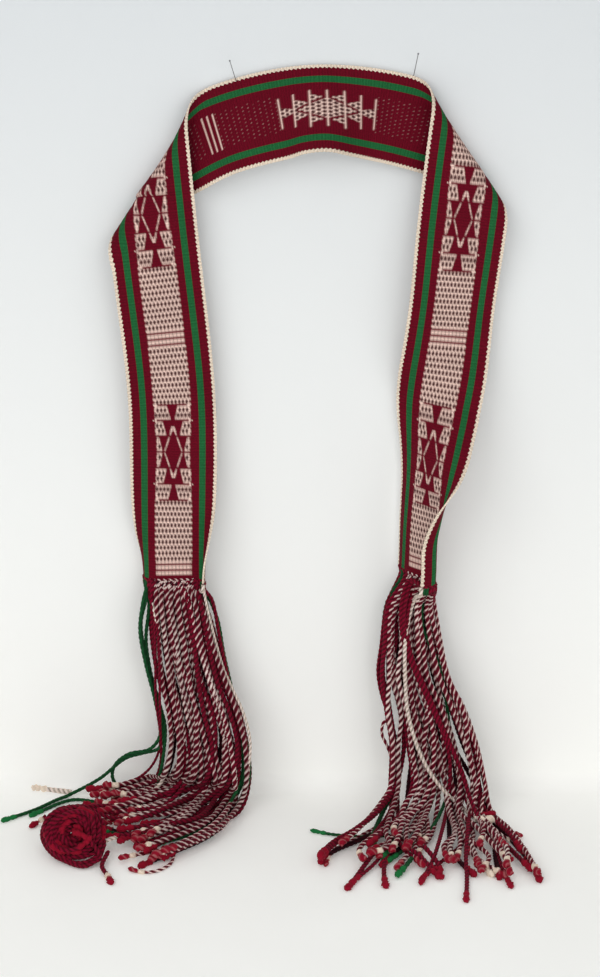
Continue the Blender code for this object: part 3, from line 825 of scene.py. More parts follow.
@dataclass
class WovenBand:
    """The woven band as one closed sheet, coloured by its stripes and its chart.

    The mesh has one column for each cell of the chart in the field, and one or two for each plain
    stripe. Its stripe borders are lines of the mesh, so a stripe's colour stays in its own cells.
    """

    shape: BandShape
    chart: PickUpChart
    finish: bpy.types.Material
    half_thickness: float = 0.0007
    float_relief: float = 0.00035
    stripe_lines: tuple[float, ...] = (0.0, 3.0, 7.2, 11.5, 14.7, 18.0)
    stripe_yarns: tuple[Yarn, ...] = (Yarn.CREAM, Yarn.RED, Yarn.RED, Yarn.GREEN, Yarn.GREEN, Yarn.RED)
    field_cells: int = 44
    teeth: tuple[float, ...] = (0.0, 0.75, -0.75)
    dot_shade: float = 0.7

    def across_places(self) -> np.ndarray:
        """Distances of the mesh's lines from the upper edge, in millimetres."""
        width = self.shape.width / MM
        side = np.array(self.stripe_lines)
        cells = np.arange(self.field_cells + 1) - self.field_cells / 2
        return np.concatenate([side, width / 2 + cells * self.chart.cell, width - side[::-1]])

    def field_colours(
        self, from_middle: np.ndarray, along: np.ndarray, reverse: bool
    ) -> tuple[np.ndarray, np.ndarray]:
        """Colour and cover of cream in the field.

        Args:
            from_middle: distance across from the middle line, in millimetres.
            along: distance along the band.
            reverse: True for the reverse side.

        Returns:
            Linear colours, red to cream by the chart's cover and darker in the dots, and the cover.
        """
        cover, hollow = (self.chart.reverse if reverse else self.chart.face)(from_middle, along)
        share, depth = cover[..., None], hollow[..., None]
        mixed = Yarn.RED.rgb * (1.0 - share) + Yarn.PINK_CREAM.rgb * share
        # painted shade: the red ground in the dots, sunk between the cream floats, is darkened
        return mixed * (1.0 - self.dot_shade * depth), cover

    def corner_colours(self, field_rgb: np.ndarray, quads: np.ndarray, columns: int) -> np.ndarray:
        """Colours at the corners of one side's faces: each stripe's own, or the field's points'.

        Args:
            field_rgb: colour of each point.
            quads: the side's faces, rows along by cells across, as point numbers.
            columns: points across.

        Returns:
            A colour for each corner of each face.
        """
        cells = columns - 1
        stripes = len(self.stripe_yarns)
        corners = field_rgb.reshape(-1, 4)[quads].reshape(-1, cells, 4, 4)
        side = np.array([yarn.rgb for yarn in self.stripe_yarns])
        rows = quads.reshape(-1, cells, 4) // columns
        shade = 1.0 + 0.10 * np.sin(rows * 2.1)[..., None] * np.array([1.0, 1.0, 1.0, 0.0])
        corners[:, :stripes] = side[:, None] * shade[:, :stripes]
        corners[:, -stripes:] = side[::-1, None] * shade[:, -stripes:]
        return corners.reshape(-1, 4)

    def build(self) -> bpy.types.Object:
        """Builds the sheet: its sides stand half the thickness and the floats' relief off the middle.

        Returns:
            The piece, in place.
        """
        shape = self.shape
        along = self.chart.stations(-shape.left_length / MM, shape.right_length / MM)
        across = self.across_places()
        rows, columns = len(along), len(across)
        tooth = np.array(self.teeth)[np.arange(rows) % len(self.teeth)]
        lines = np.broadcast_to(across, (rows, columns)).copy()
        lines[:, 1] += tooth
        lines[:, -2] -= tooth
        lines[:, 0] -= tooth * 0.4
        lines[:, -1] += tooth * 0.4
        middle = shape.surface(along * MM, lines * MM)
        normals = grid_normals(middle)
        from_middle, along_grid = np.broadcast_arrays(across - shape.width / MM / 2, along[:, None])
        face_rgb, face_cover = self.field_colours(from_middle, along_grid, False)
        back_rgb, back_cover = self.field_colours(from_middle, along_grid, True)
        lift = [self.half_thickness + self.float_relief * cover for cover in (face_cover, back_cover)]
        points = np.stack([middle + normals * lift[0][..., None], middle - normals * lift[1][..., None]])
        front, back, walls = self.slab_quads(rows, columns)
        front_rgb = self.corner_colours(face_rgb, front, columns)
        back_corners = self.corner_colours(back_rgb, front, columns).reshape(-1, 4, 4)[:, ::-1].reshape(-1, 4)
        on_selvage = (walls.ravel() % columns % (columns - 1) == 0)[:, None]
        wall_rgb = np.where(on_selvage, Yarn.CREAM.rgb, Yarn.RED.rgb)
        quads = np.concatenate([front, back, walls])
        cloth = np.stack([lines, along_grid], axis=-1).reshape(-1, 2) * MM
        colours = np.concatenate([front_rgb, back_corners, wall_rgb])
        both_sides = np.concatenate([cloth, cloth])
        piece = mesh_piece("sash_cloth", points.reshape(-1, 3), quads, colours, both_sides)
        piece.data.set_sharp_from_angle(angle=math.radians(70.0))
        piece.data.materials.append(self.finish)
        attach(piece, BODY)
        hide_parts("sash_band")
        LOG.info("sash_cloth: %d rows, %d faces", rows, len(quads))
        return piece

    @staticmethod
    def slab_quads(rows: int, columns: int) -> tuple[np.ndarray, np.ndarray, np.ndarray]:
        """Faces of two grids and of the walls between their rims.

        Args:
            rows: points along.
            columns: points across.

        Returns:
            The faces of the front, of the back and of the rim, turned outwards.
        """
        index = np.arange(rows * columns).reshape(rows, columns)
        corners = [index[:-1, :-1], index[1:, :-1], index[1:, 1:], index[:-1, 1:]]
        front = np.stack(corners, axis=-1).reshape(-1, 4)
        rim = np.concatenate([index[0, :], index[1:, -1], index[-1, -2::-1], index[-2:0:-1, 0]])
        after = np.roll(rim, -1)
        walls = np.stack([rim, after, after + rows * columns, rim + rows * columns], axis=-1)
        return front, front[:, ::-1] + rows * columns, walls


class CordKind(Enum):
    """The kinds of cord in the fringe: the ground's yarn, the marks' yarn and the ground's share."""

    MOTTLED = (Yarn.CORD_RED, Yarn.CORD_CREAM, 0.75)
    RED = (Yarn.RED, Yarn.CORD_RED, 0.4)
    # Nearly black red cords for the rearmost layer: partly real dark red cords, partly painted shade in the
    # gaps between the cords
    DARK = (Yarn.DEEP_RED, Yarn.MAROON, 0.5)
    GREEN = (Yarn.GREEN, Yarn.DEEP_GREEN, 0.5)
    CREAM = (Yarn.CREAM, Yarn.CORD_CREAM, 0.5)

    @property
    def tip(self) -> Yarn:
        """The yarn of the loose fibres at the end."""
        tips = {CordKind.GREEN: Yarn.TUFT_GREEN, CordKind.CREAM: Yarn.CREAM}
        return tips.get(self, Yarn.TUFT_RED)


@dataclass(frozen=True)
class CordEnd:
    """How a cord ends: a small knot and then a tuft of loose fibres."""

    knot: Yarn
    tuft: Yarn
    knot_scale: float = 1.45
    tuft_scale: float = 1.55
    tuft_length: float = 0.012
    knot_length: float = 0.006

    def profile(self, left: np.ndarray) -> tuple[np.ndarray, np.ndarray, np.ndarray]:
        """Radius scale and tint near the end: a round bump for the knot, and one for the tuft.

        Args:
            left: length of cord left to the end at each ring.

        Returns:
            The scale, the tint and how much of the tint shows, for each ring.
        """
        knot_at = self.tuft_length + self.knot_length / 2
        knot = np.clip(1.0 - ((left - knot_at) / (self.knot_length / 2)) ** 2, 0.0, 1.0) ** 0.5
        tuft = np.clip(1.0 - ((left - self.tuft_length / 2) / (self.tuft_length / 2)) ** 2, 0.0, 1.0) ** 0.5
        in_tuft = left < self.tuft_length
        scale = np.where(in_tuft, 0.3 + (self.tuft_scale - 0.3) * tuft, 1.0 + (self.knot_scale - 1.0) * knot)
        tint = np.where(in_tuft[:, None], self.tuft.rgb, self.knot.rgb)
        return scale, tint, np.where(left < self.tuft_length + self.knot_length, 0.85, 0.0)


@dataclass(frozen=True)
class TwoPlyCord:
    """A cord of two strands laid round each other, as a tube whose section has two lobes.

    The tone, from 0 to 1, darkens the whole cord: a painted shade.
    """

    kind: CordKind
    radius: float = 0.0022
    lay: float = 0.0160
    sides: int = 10
    rings_per_lay: int = 10
    lobe: float = 0.30
    tone: float = 1.0
    end: CordEnd | None = None

    def smooth_path(self, points: np.ndarray, share: float = 1.0) -> np.ndarray:
        """A smooth curve through given points, read every share of a lay.

        Args:
            points: places on the cord's route.
            share: how much of the curve's length is kept.

        Returns:
            Points evenly spread along the curve.
        """
        lengths = np.linalg.norm(np.diff(points, axis=0), axis=1)
        places = np.concatenate([[0.0], np.cumsum(np.sqrt(lengths))])
        curve = curve_through(places, points, np.linspace(0.0, places[-1], 700))
        run = np.concatenate([[0.0], np.cumsum(np.linalg.norm(np.diff(curve, axis=0), axis=1))])
        length = run[-1] * share
        even = np.linspace(0.0, length, max(round(length / self.lay * self.rings_per_lay), 8))
        return np.stack([np.interp(even, run, curve[:, axis]) for axis in range(3)], axis=-1)

    def frames(self, path: np.ndarray) -> tuple[np.ndarray, np.ndarray]:
        """Two unit directions square to the path, the first kept near to one line's side.

        Args:
            path: evenly spread points.

        Returns:
            The two directions at each point.
        """
        tangent = np.gradient(path, axis=0)
        tangent /= np.linalg.norm(tangent, axis=1, keepdims=True)
        bend = np.cross(path[len(path) // 3] - path[0], path[-1] - path[len(path) // 2])
        bend = bend / max(float(np.linalg.norm(bend)), 1e-9)
        bend = bend if np.linalg.norm(bend) > 0.5 else np.array([0.3, 0.9, 0.3])
        first = bend - (tangent @ bend)[:, None] * tangent
        first /= np.maximum(np.linalg.norm(first, axis=1, keepdims=True), 1e-9)
        return first, np.cross(tangent, first)

    def tube(self, path: np.ndarray, phase: float) -> tuple[np.ndarray, np.ndarray, np.ndarray]:
        """The cord's surface along a path.

        A ring's radius is the mean radius less a share, plus that share times the absolute cosine
        of its angle less the strands' turn, so that two lobes wind along the path. The end's shape
        scales it, and a quick wave makes the tuft's outline rough. The second yarn shows along the
        top of each lobe, over its share of the way round, and the grooves between the strands are
        darkened with painted shade.

        Args:
            path: evenly spread points.
            phase: where the strands' turn starts.

        Returns:
            Points, faces and linear colours.
        """
        first, second = self.frames(path)
        run = np.concatenate([[0.0], np.cumsum(np.linalg.norm(np.diff(path, axis=0), axis=1))])
        angle = np.arange(self.sides) / self.sides * math.tau
        strand = angle[None, :] - (run / self.lay * math.tau)[:, None] + phase
        ridge = np.abs(np.cos(strand))
        radius = self.radius * (1.0 - self.lobe + self.lobe * ridge * 1.25)
        one, two, part = self.kind.value
        top = math.cos((1.0 - part) * math.pi / 2)
        share = np.clip((ridge - top) / (1.0 - top) * 3.0 + 0.1, 0.0, 1.0)[..., None]
        # painted shade: the grooves between the two strands are darker, and the tone darkens the whole cord
        groove_shade = self.tone * (0.12 + 0.88 * ridge**0.8)
        colours = (one.rgb * (1.0 - share) + two.rgb * share) * groove_shade[..., None]
        if self.end is not None:
            scale, tint, mixed = self.end.profile(run[-1] - run)
            rough = 0.30 * np.sin(angle * 5.0 + 0.4)[None, :] * np.sin(run * 2600.0)[:, None]
            radius = radius * scale[:, None] * (1.0 + rough * (run[-1] - run < self.end.tuft_length)[:, None])
            colours = colours * (1.0 - mixed[:, None, None]) + tint[:, None, :] * mixed[:, None, None]
        across, upward = np.cos(angle)[None, :, None], np.sin(angle)[None, :, None]
        round_way = across * first[:, None] + upward * second[:, None]
        points = path[:, None] + radius[..., None] * round_way
        index = np.arange(len(path) * self.sides).reshape(-1, self.sides)
        after = np.roll(index, -1, axis=1)
        quads = np.stack([index[:-1], after[:-1], after[1:], index[1:]], axis=-1).reshape(-1, 4)
        cap = np.array([[0, 1, 2, 3], [0, 3, 4, 7], [4, 5, 6, 7]])
        caps = np.concatenate([index[0][cap[:, ::-1]], index[-1][cap]])
        return points.reshape(-1, 3), np.concatenate([quads, caps]), colours.reshape(-1, 4)


@dataclass(frozen=True)
class Sightlines:
    """Turns places read off the picture into points, by the way in which the camera looks.

    A place is given by its picture coordinates and a third number in millimetres. Below zero that
    is how far in front of the wall it hangs, and from zero up it is the height above the floor.
    """

    eye: tuple[float, float, float] = (-0.025, -2.045, 0.24715)
    pitch: float = 18.0
    lens: float = 76.0
    frame_height: float = 36.0
    picture: tuple[int, int] = (600, 977)
    floor: float = -0.762

    def points(self, places: tuple[tuple[float, ...], ...]) -> np.ndarray:
        """Points where the lines of sight meet the wall's parallels or the floor's.

        Args:
            places: picture across, picture down and the third number, a row each.

        Returns:
            A point for each row.
        """
        rows = np.array(places, float)
        pitch = math.radians(self.pitch)
        focal = self.lens / self.frame_height * self.picture[1]
        aside = (rows[:, 0] - self.picture[0] / 2) / focal
        down = (rows[:, 1] - self.picture[1] / 2) / focal
        ahead = math.cos(pitch) - math.sin(pitch) * down
        upward = -math.sin(pitch) - math.cos(pitch) * down
        depth = rows[:, 2] * MM
        to_wall = (depth - self.eye[1]) / ahead
        to_floor = (self.floor + depth - self.eye[2]) / upward
        reach = np.where(depth < 0.0, to_wall, to_floor)
        return np.array(self.eye) + reach[:, None] * np.stack([aside, ahead, upward], axis=-1)


@dataclass(frozen=True)
class SetCord:
    """A cord whose route is given, from its place across the band's end or from nowhere."""

    kind: CordKind
    root: float | None
    places: tuple[tuple[float, ...], ...]
    radius: float = 0.0020
    knot: Yarn | None = None


@dataclass
class Fringe:
    """The plied cords at one end of the band, from its last pick down to the floor and over it.

    The mass of the cords lies between two guide routes, each at its own share of the way and in
    its own layer, and wanders a little so that cords cross. The cords that stand out in the
    photograph have routes of their own.
    """

    name: str
    shape: BandShape
    finish: bpy.types.Material
    end: float
    guides: tuple[tuple[tuple[float, ...], ...], tuple[tuple[float, ...], ...]]
    mass: tuple[tuple[CordKind, float], ...]
    set_cords: tuple[SetCord, ...]
    seed: int
    roll: tuple[float, float, float] | None = None
    roll_rounds: int = 20
    sight: Sightlines = Sightlines()
    layers: int = 5
    layer_step: float = 0.0040
    wander: float = 0.15
    air_wander: float = 0.0008
    floor_wander: float = 0.004
    heap_step: float = 0.0030
    heap_wander: float = 0.002
    mass_radius: float = 0.0026
    straight_out: float = 0.007
    kept_share: tuple[float, float] = (0.86, 1.0)
    # painted shade: each cord of the mass is darkened by a random tone between these
    tones: tuple[float, float] = (0.7, 1.0)
    roll_sizes: tuple[float, float] = (0.004, 0.021)
    roll_half_depth: float = 0.011
    roll_shift: tuple[float, float] = (0.0022, 0.0018)
    pieces: list[bpy.types.Object] = field(default_factory=list)

    def root(self, share: float) -> tuple[np.ndarray, np.ndarray]:
        """Where a cord leaves the band's end, and the unit way it leaves.

        Args:
            share: its place across, from 0 at the upper edge to 1 at the lower one.

        Returns:
            The point and the way.
        """
        toward = 1.0 if self.end > 0 else -1.0
        stations = np.sort([self.end - toward * 0.006, self.end + toward * 0.001])
        grid = self.shape.surface(stations, np.array([share * self.shape.width]))[:, 0]
        grid = grid if toward > 0 else grid[::-1]
        away = grid[1] - grid[0]
        return grid[1], away / np.linalg.norm(away)

    def lay_mass(self, rng: np.random.Generator) -> list[tuple[TwoPlyCord, np.ndarray]]:
        """The cords between the guides.

        Args:
            rng: the fringe's own numbers.

        Returns:
            Each cord with its path.
        """
        inner, outer = (self.sight.points(guide) for guide in self.guides)
        hanging = np.array([place[2] < 0 for place in self.guides[0]])
        roots = [self.root(share) for _, share in self.mass]
        order = np.argsort(np.argsort([point[0] for point, _ in roots]))
        laid = []
        for number, (kind, _) in enumerate(self.mass):
            share = order[number] / (len(self.mass) - 1)
            steps = rng.normal(0.0, self.wander / 2, len(inner))
            drift = np.cumsum(steps) * np.linspace(0.4, 1.0, len(inner))
            drift = np.clip(share + drift, -0.04, 1.04)[:, None]
            way = inner * (1.0 - drift) + outer * drift
            # the dark cords take the rearmost layer, where their near black stands partly for painted shade
            layer = self.layers - 1 if kind is CordKind.DARK else number % (self.layers - 1)
            depth = (layer - (self.layers - 1) / 2) * self.layer_step
            in_air = rng.normal(0.0, self.air_wander, len(way))
            on_floor = rng.normal(0.0, self.floor_wander, len(way))
            way[:, 1] += np.where(hanging, depth + in_air, on_floor)
            heap = (self.layers - 1 - layer) * self.heap_step + rng.uniform(0.0, self.heap_wander, len(way))
            way[:, 2] += np.where(hanging, 0.0, heap)
            point, away = roots[number]
            mottled = kind is CordKind.MOTTLED
            knot = Yarn.CREAM if mottled and number % 3 else kind.tip
            # painted shade: a random darkening of each whole cord of the mass
            cord = self.cord(kind, self.mass_radius, knot, rng.uniform(*self.tones))
            route = np.concatenate([[point, point + away * self.straight_out], way])
            laid.append((cord, cord.smooth_path(route, rng.uniform(*self.kept_share))))
        return laid

    def lay_set(self) -> list[tuple[TwoPlyCord, np.ndarray]]:
        """The cords with routes of their own.

        Returns:
            Each cord with its path.
        """
        laid = []
        for set_cord in self.set_cords:
            way = self.sight.points(set_cord.places)
            if set_cord.root is not None:
                point, away = self.root(set_cord.root)
                way = np.concatenate([[point, point + away * self.straight_out], way])
            cord = self.cord(set_cord.kind, set_cord.radius, set_cord.knot or set_cord.kind.tip)
            laid.append((cord, cord.smooth_path(way)))
        return laid

    @staticmethod
    def cord(kind: CordKind, radius: float, knot: Yarn, tone: float = 1.0) -> TwoPlyCord:
        """A cord of a kind: mottled ones have a longer lay and finer rings for their marks."""
        if kind is CordKind.MOTTLED:
            return TwoPlyCord(kind, radius, tone=tone, end=CordEnd(knot, kind.tip))
        return TwoPlyCord(kind, radius, 0.0110, 8, 7, 0.24, tone, CordEnd(knot, kind.tip))

    def lay_roll(self, rng: np.random.Generator) -> list[tuple[TwoPlyCord, np.ndarray]]:
        """The roll of red cords: rounds of many sizes side by side, a little tilted and set apart.

        Args:
            rng: the fringe's own numbers.

        Returns:
            Each round with its path.
        """
        if self.roll is None:
            return []
        middle = self.sight.points((self.roll,))[0]
        laid = []
        for number in range(self.roll_rounds):
            smallest, growth = self.roll_sizes
            size = smallest + growth * (number / (self.roll_rounds - 1)) ** 0.8
            turn = np.linspace(0.0, math.tau * rng.uniform(0.9, 1.15), 14) + rng.uniform(0.0, math.tau)
            aside = np.array([1.12, rng.normal(0.0, 0.12), rng.normal(0.0, 0.08)])
            upward = np.array([rng.normal(0.0, 0.08), 0.45, 0.86])
            depth = rng.uniform(-self.roll_half_depth, self.roll_half_depth)
            forward = np.array([0.0, -0.86, 0.45]) * depth
            wobble = size * (1.0 + 0.06 * np.sin(turn * 2.0 + number))[:, None]
            shift = np.array([rng.normal(0.0, self.roll_shift[0]), 0.0, rng.normal(0.0, self.roll_shift[1])])
            circle = np.cos(turn)[:, None] * aside + np.sin(turn)[:, None] * upward
            points = middle + forward + shift + wobble * circle
            points[:, 2] = np.maximum(points[:, 2], self.sight.floor + 0.0025)
            cord = self.cord(CordKind.RED, 0.0023, Yarn.TUFT_RED)
            laid.append((cord, cord.smooth_path(points)))
        return laid

    def lay_header(self) -> list[tuple[TwoPlyCord, np.ndarray]]:
        """The twined row that stops the weave: cords laid across the band's end, red, mottled, red.

        Returns:
            Each part with its path.
        """
        laid = []
        parts = ((CordKind.RED, 0.03, 0.27), (CordKind.MOTTLED, 0.28, 0.72), (CordKind.RED, 0.73, 0.97))
        for kind, first, last in parts:
            points = np.array([self.root(share)[0] for share in np.linspace(first, last, 9)])
            cord = TwoPlyCord(kind, 0.0019, 0.0120, 8, 12, 0.36)
            laid.append((cord, cord.smooth_path(points)))
        return laid

    def build(self) -> list[bpy.types.Object]:
        """Builds the cords as two joined meshes, the mottled ones and the plain ones.

        Returns:
            The pieces.
        """
        rng = np.random.default_rng(self.seed)
        groups: dict[str, list[tuple[np.ndarray, ...]]] = {"mottled": [], "plain": []}
        parts = (self.lay_header(), self.lay_mass(rng), self.lay_set(), self.lay_roll(rng))
        for kind, laid in zip(("header", "mass", "set", "roll"), parts):
            lengths = [np.linalg.norm(np.diff(path, axis=0), axis=1).sum() for _, path in laid]
            LOG.info("%s: %d %s, lengths %s m", self.name, len(laid), kind, np.round(sorted(lengths), 2))
        for cord, path in sum(parts, []):
            path[:, 2] = np.maximum(path[:, 2], self.sight.floor + cord.radius)
            group = "mottled" if cord.kind is CordKind.MOTTLED else "plain"
            groups[group].append(cord.tube(path, rng.uniform(0.0, math.tau)))
        for group, tubes in groups.items():
            self.join(f"{self.name}_{group}_cords", tubes)
        return self.pieces

    def join(self, name: str, tubes: list[tuple[np.ndarray, ...]]) -> None:
        """Joins tubes into one piece of the fringe.

        Args:
            name: the piece's name.
            tubes: points, faces and colours of each.
        """
        shifts = np.cumsum([0] + [len(tube[0]) for tube in tubes[:-1]])
        quads = np.concatenate([tube[1] + shift for tube, shift in zip(tubes, shifts)])
        points, colours = (np.concatenate([tube[part] for tube in tubes]) for part in (0, 2))
        piece = mesh_piece(name, points, quads, colours, None)
        piece.data.materials.append(self.finish)
        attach(piece, BODY)
        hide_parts(self.name)
        self.pieces.append(piece)
        LOG.info("%s: %d cords, %d faces", name, len(tubes), len(quads))


@dataclass(frozen=True)
class Setting:
    """The plain wall, floor, lights and camera. The camera looks down a little at the legs.

    Each lamp has its name, its place, its aim, the side of its square and its power.
    """

    sight: Sightlines = Sightlines()
    lamps: tuple[tuple[Any, ...], ...] = (
        ("key", (-1.3, -1.9, 0.9), (0.0, 0.0, -0.4), 1.6, 16.0),
        ("fill", (1.5, -2.2, 0.4), (0.0, 0.0, -0.5), 1.8, 8.0),
        ("low", (0.1, -1.5, -0.1), (0.0, 0.0, -0.75), 1.2, 4.0),
    )
    sky: float = 0.41

    def sheet(self, name: str, grid: np.ndarray, colours: np.ndarray, finish: BackdropCloth) -> None:
        """A staged sheet.

        Args:
            name: the sheet's name.
            grid: its points, rows by columns.
            colours: linear colour of each point.
            finish: its cloth.
        """
        index = np.arange(grid.size // 3).reshape(grid.shape[:2])
        corners = [index[:-1, :-1], index[:-1, 1:], index[1:, 1:], index[1:, :-1]]
        quads = np.stack(corners, axis=-1).reshape(-1, 4)
        piece = mesh_piece(name, grid.reshape(-1, 3), quads, colours.reshape(-1, 4), None)
        piece.data.materials.append(finish.build())

    def build(self) -> None:
        """Builds the wall, the floor, the lights, the world and the camera."""
        wide, tall, front, bend = 4.0, 2.5, 4.0, 0.02
        shaded_wall_foot, floor = 0.1, self.sight.floor
        turn = np.linspace(0.0, math.pi / 2, 9)
        out = np.concatenate([[0.0, 0.0], -bend * (1.0 - np.cos(turn)), [-front]])
        height = np.concatenate([[tall, shaded_wall_foot], floor + bend * (1.0 - np.sin(turn)), [floor]])
        rows = [np.stack([np.full(len(out), side), out, height], axis=-1) for side in (wide, -wide)]
        # painted shade: the wall is grey #d9dde0 from its top down to 0.1 m and lightens below that to the
        # white of the cove and floor
        tones = np.array([linear("#d9dde0")] * 2 + [linear("#fdfdfa")] * (len(out) - 2))
        cloth = BackdropCloth("backdrop", see_through_back=True)
        self.sheet("backdrop", np.stack(rows, axis=1), np.stack([tones, tones], axis=1), cloth)
        for lamp in self.lamps:
            self.light(*lamp)
        world = bpy.data.worlds.new("studio")
        world.use_nodes = True
        world.node_tree.nodes["Background"].inputs["Color"].default_value = (1.0, 1.0, 0.99, 1.0)
        world.node_tree.nodes["Background"].inputs["Strength"].default_value = self.sky
        bpy.context.scene.world = world
        self.camera()

    def light(
        self, name: str, at: tuple[float, ...], aim: tuple[float, ...], size: float, power: float
    ) -> None:
        """A soft square light.

        Args:
            name: its name.
            at: where it stands.
            aim: what it points at.
            size: the side of its square.
            power: its power in watts.
        """
        data = bpy.data.lights.new(name, "AREA")
        data.size, data.energy = size, power
        lamp = bpy.data.objects.new(name, data)
        bpy.context.scene.collection.objects.link(lamp)
        lamp.location = at
        way = np.array(aim) - np.array(at)
        flat = math.hypot(way[0], way[1])
        lamp.rotation_euler = (math.atan2(flat, -way[2]), 0.0, math.atan2(way[1], way[0]) - math.pi / 2)

    def camera(self) -> None:
        """The camera, at the photograph's viewing angle, with a 36 mm high frame."""
        data = bpy.data.cameras.new("camera")
        data.lens, data.sensor_fit, data.sensor_height = self.sight.lens, "VERTICAL", self.sight.frame_height
        data.sensor_width = self.sight.frame_height * self.sight.picture[0] / self.sight.picture[1]
        eye = bpy.data.objects.new("camera", data)
        bpy.context.scene.collection.objects.link(eye)
        eye.location = self.sight.eye
        eye.rotation_euler = (math.radians(90.0 - self.sight.pitch), 0.0, 0.0)
        bpy.context.scene.camera = eye


# Guide routes of the cords' mass, read off the picture
LEFT_GUIDES = (
    (
        (156, 600, -31), (159, 640, -31), (165, 680, -32), (172, 712, -34), (174, 745, -37),
        (168, 772, -42),
        (150, 789, 9), (122, 795, 9), (97, 799, 7), (76, 798, 5),
    ),
    (
        (204, 600, -31), (213, 640, -34), (224, 680, -38), (237, 715, -44), (244, 748, -50),
        (246, 780, -56),
        (238, 810, 3), (212, 836, 2), (166, 856, 2), (114, 873, 2),
    ),
)
RIGHT_GUIDES = (
    (
        (388, 604, -32), (384, 640, -32), (383, 674, -32), (388, 708, -34), (392, 745, -38),
        (394, 782, -44),
        (384, 818, 6), (362, 840, 3), (340, 856, 2), (326, 868, 2),
    ),
    (
        (431, 604, -32), (436, 640, -34), (445, 674, -38), (460, 708, -44), (473, 745, -50),
        (481, 782, -56),
        (486, 815, 5), (504, 838, 3), (522, 862, 2), (534, 884, 2),
    ),
)

# The mass: each cord's kind and its place across the band's end
MOTTLED_PLACES = tuple((CordKind.MOTTLED, 0.29 + 0.42 * number / 28) for number in range(29))
# Dark cords behind the mass: partly real dark red cords, partly painted shade in the gaps between the cords
DARK_CORDS_AND_SHADE = tuple((CordKind.DARK, 0.31 + 0.38 * number / 7) for number in range(8))
REDS = tuple((CordKind.RED, 0.30 + 0.03 * number) for number in range(6))
LEFT_SIDES = tuple((CordKind.RED, share) for share in (0.20, 0.23, 0.26, 0.745))
RIGHT_SIDES = tuple((CordKind.RED, share) for share in (0.22, 0.26, 0.75)) + ((CordKind.GREEN, 0.16),)
LEFT_MASS = MOTTLED_PLACES + DARK_CORDS_AND_SHADE + REDS + LEFT_SIDES
RIGHT_MASS = MOTTLED_PLACES + DARK_CORDS_AND_SHADE + REDS[::2] + RIGHT_SIDES

# Middle of the roll of red cords on the floor
ROLL = (73.0, 833.0, 27.0)

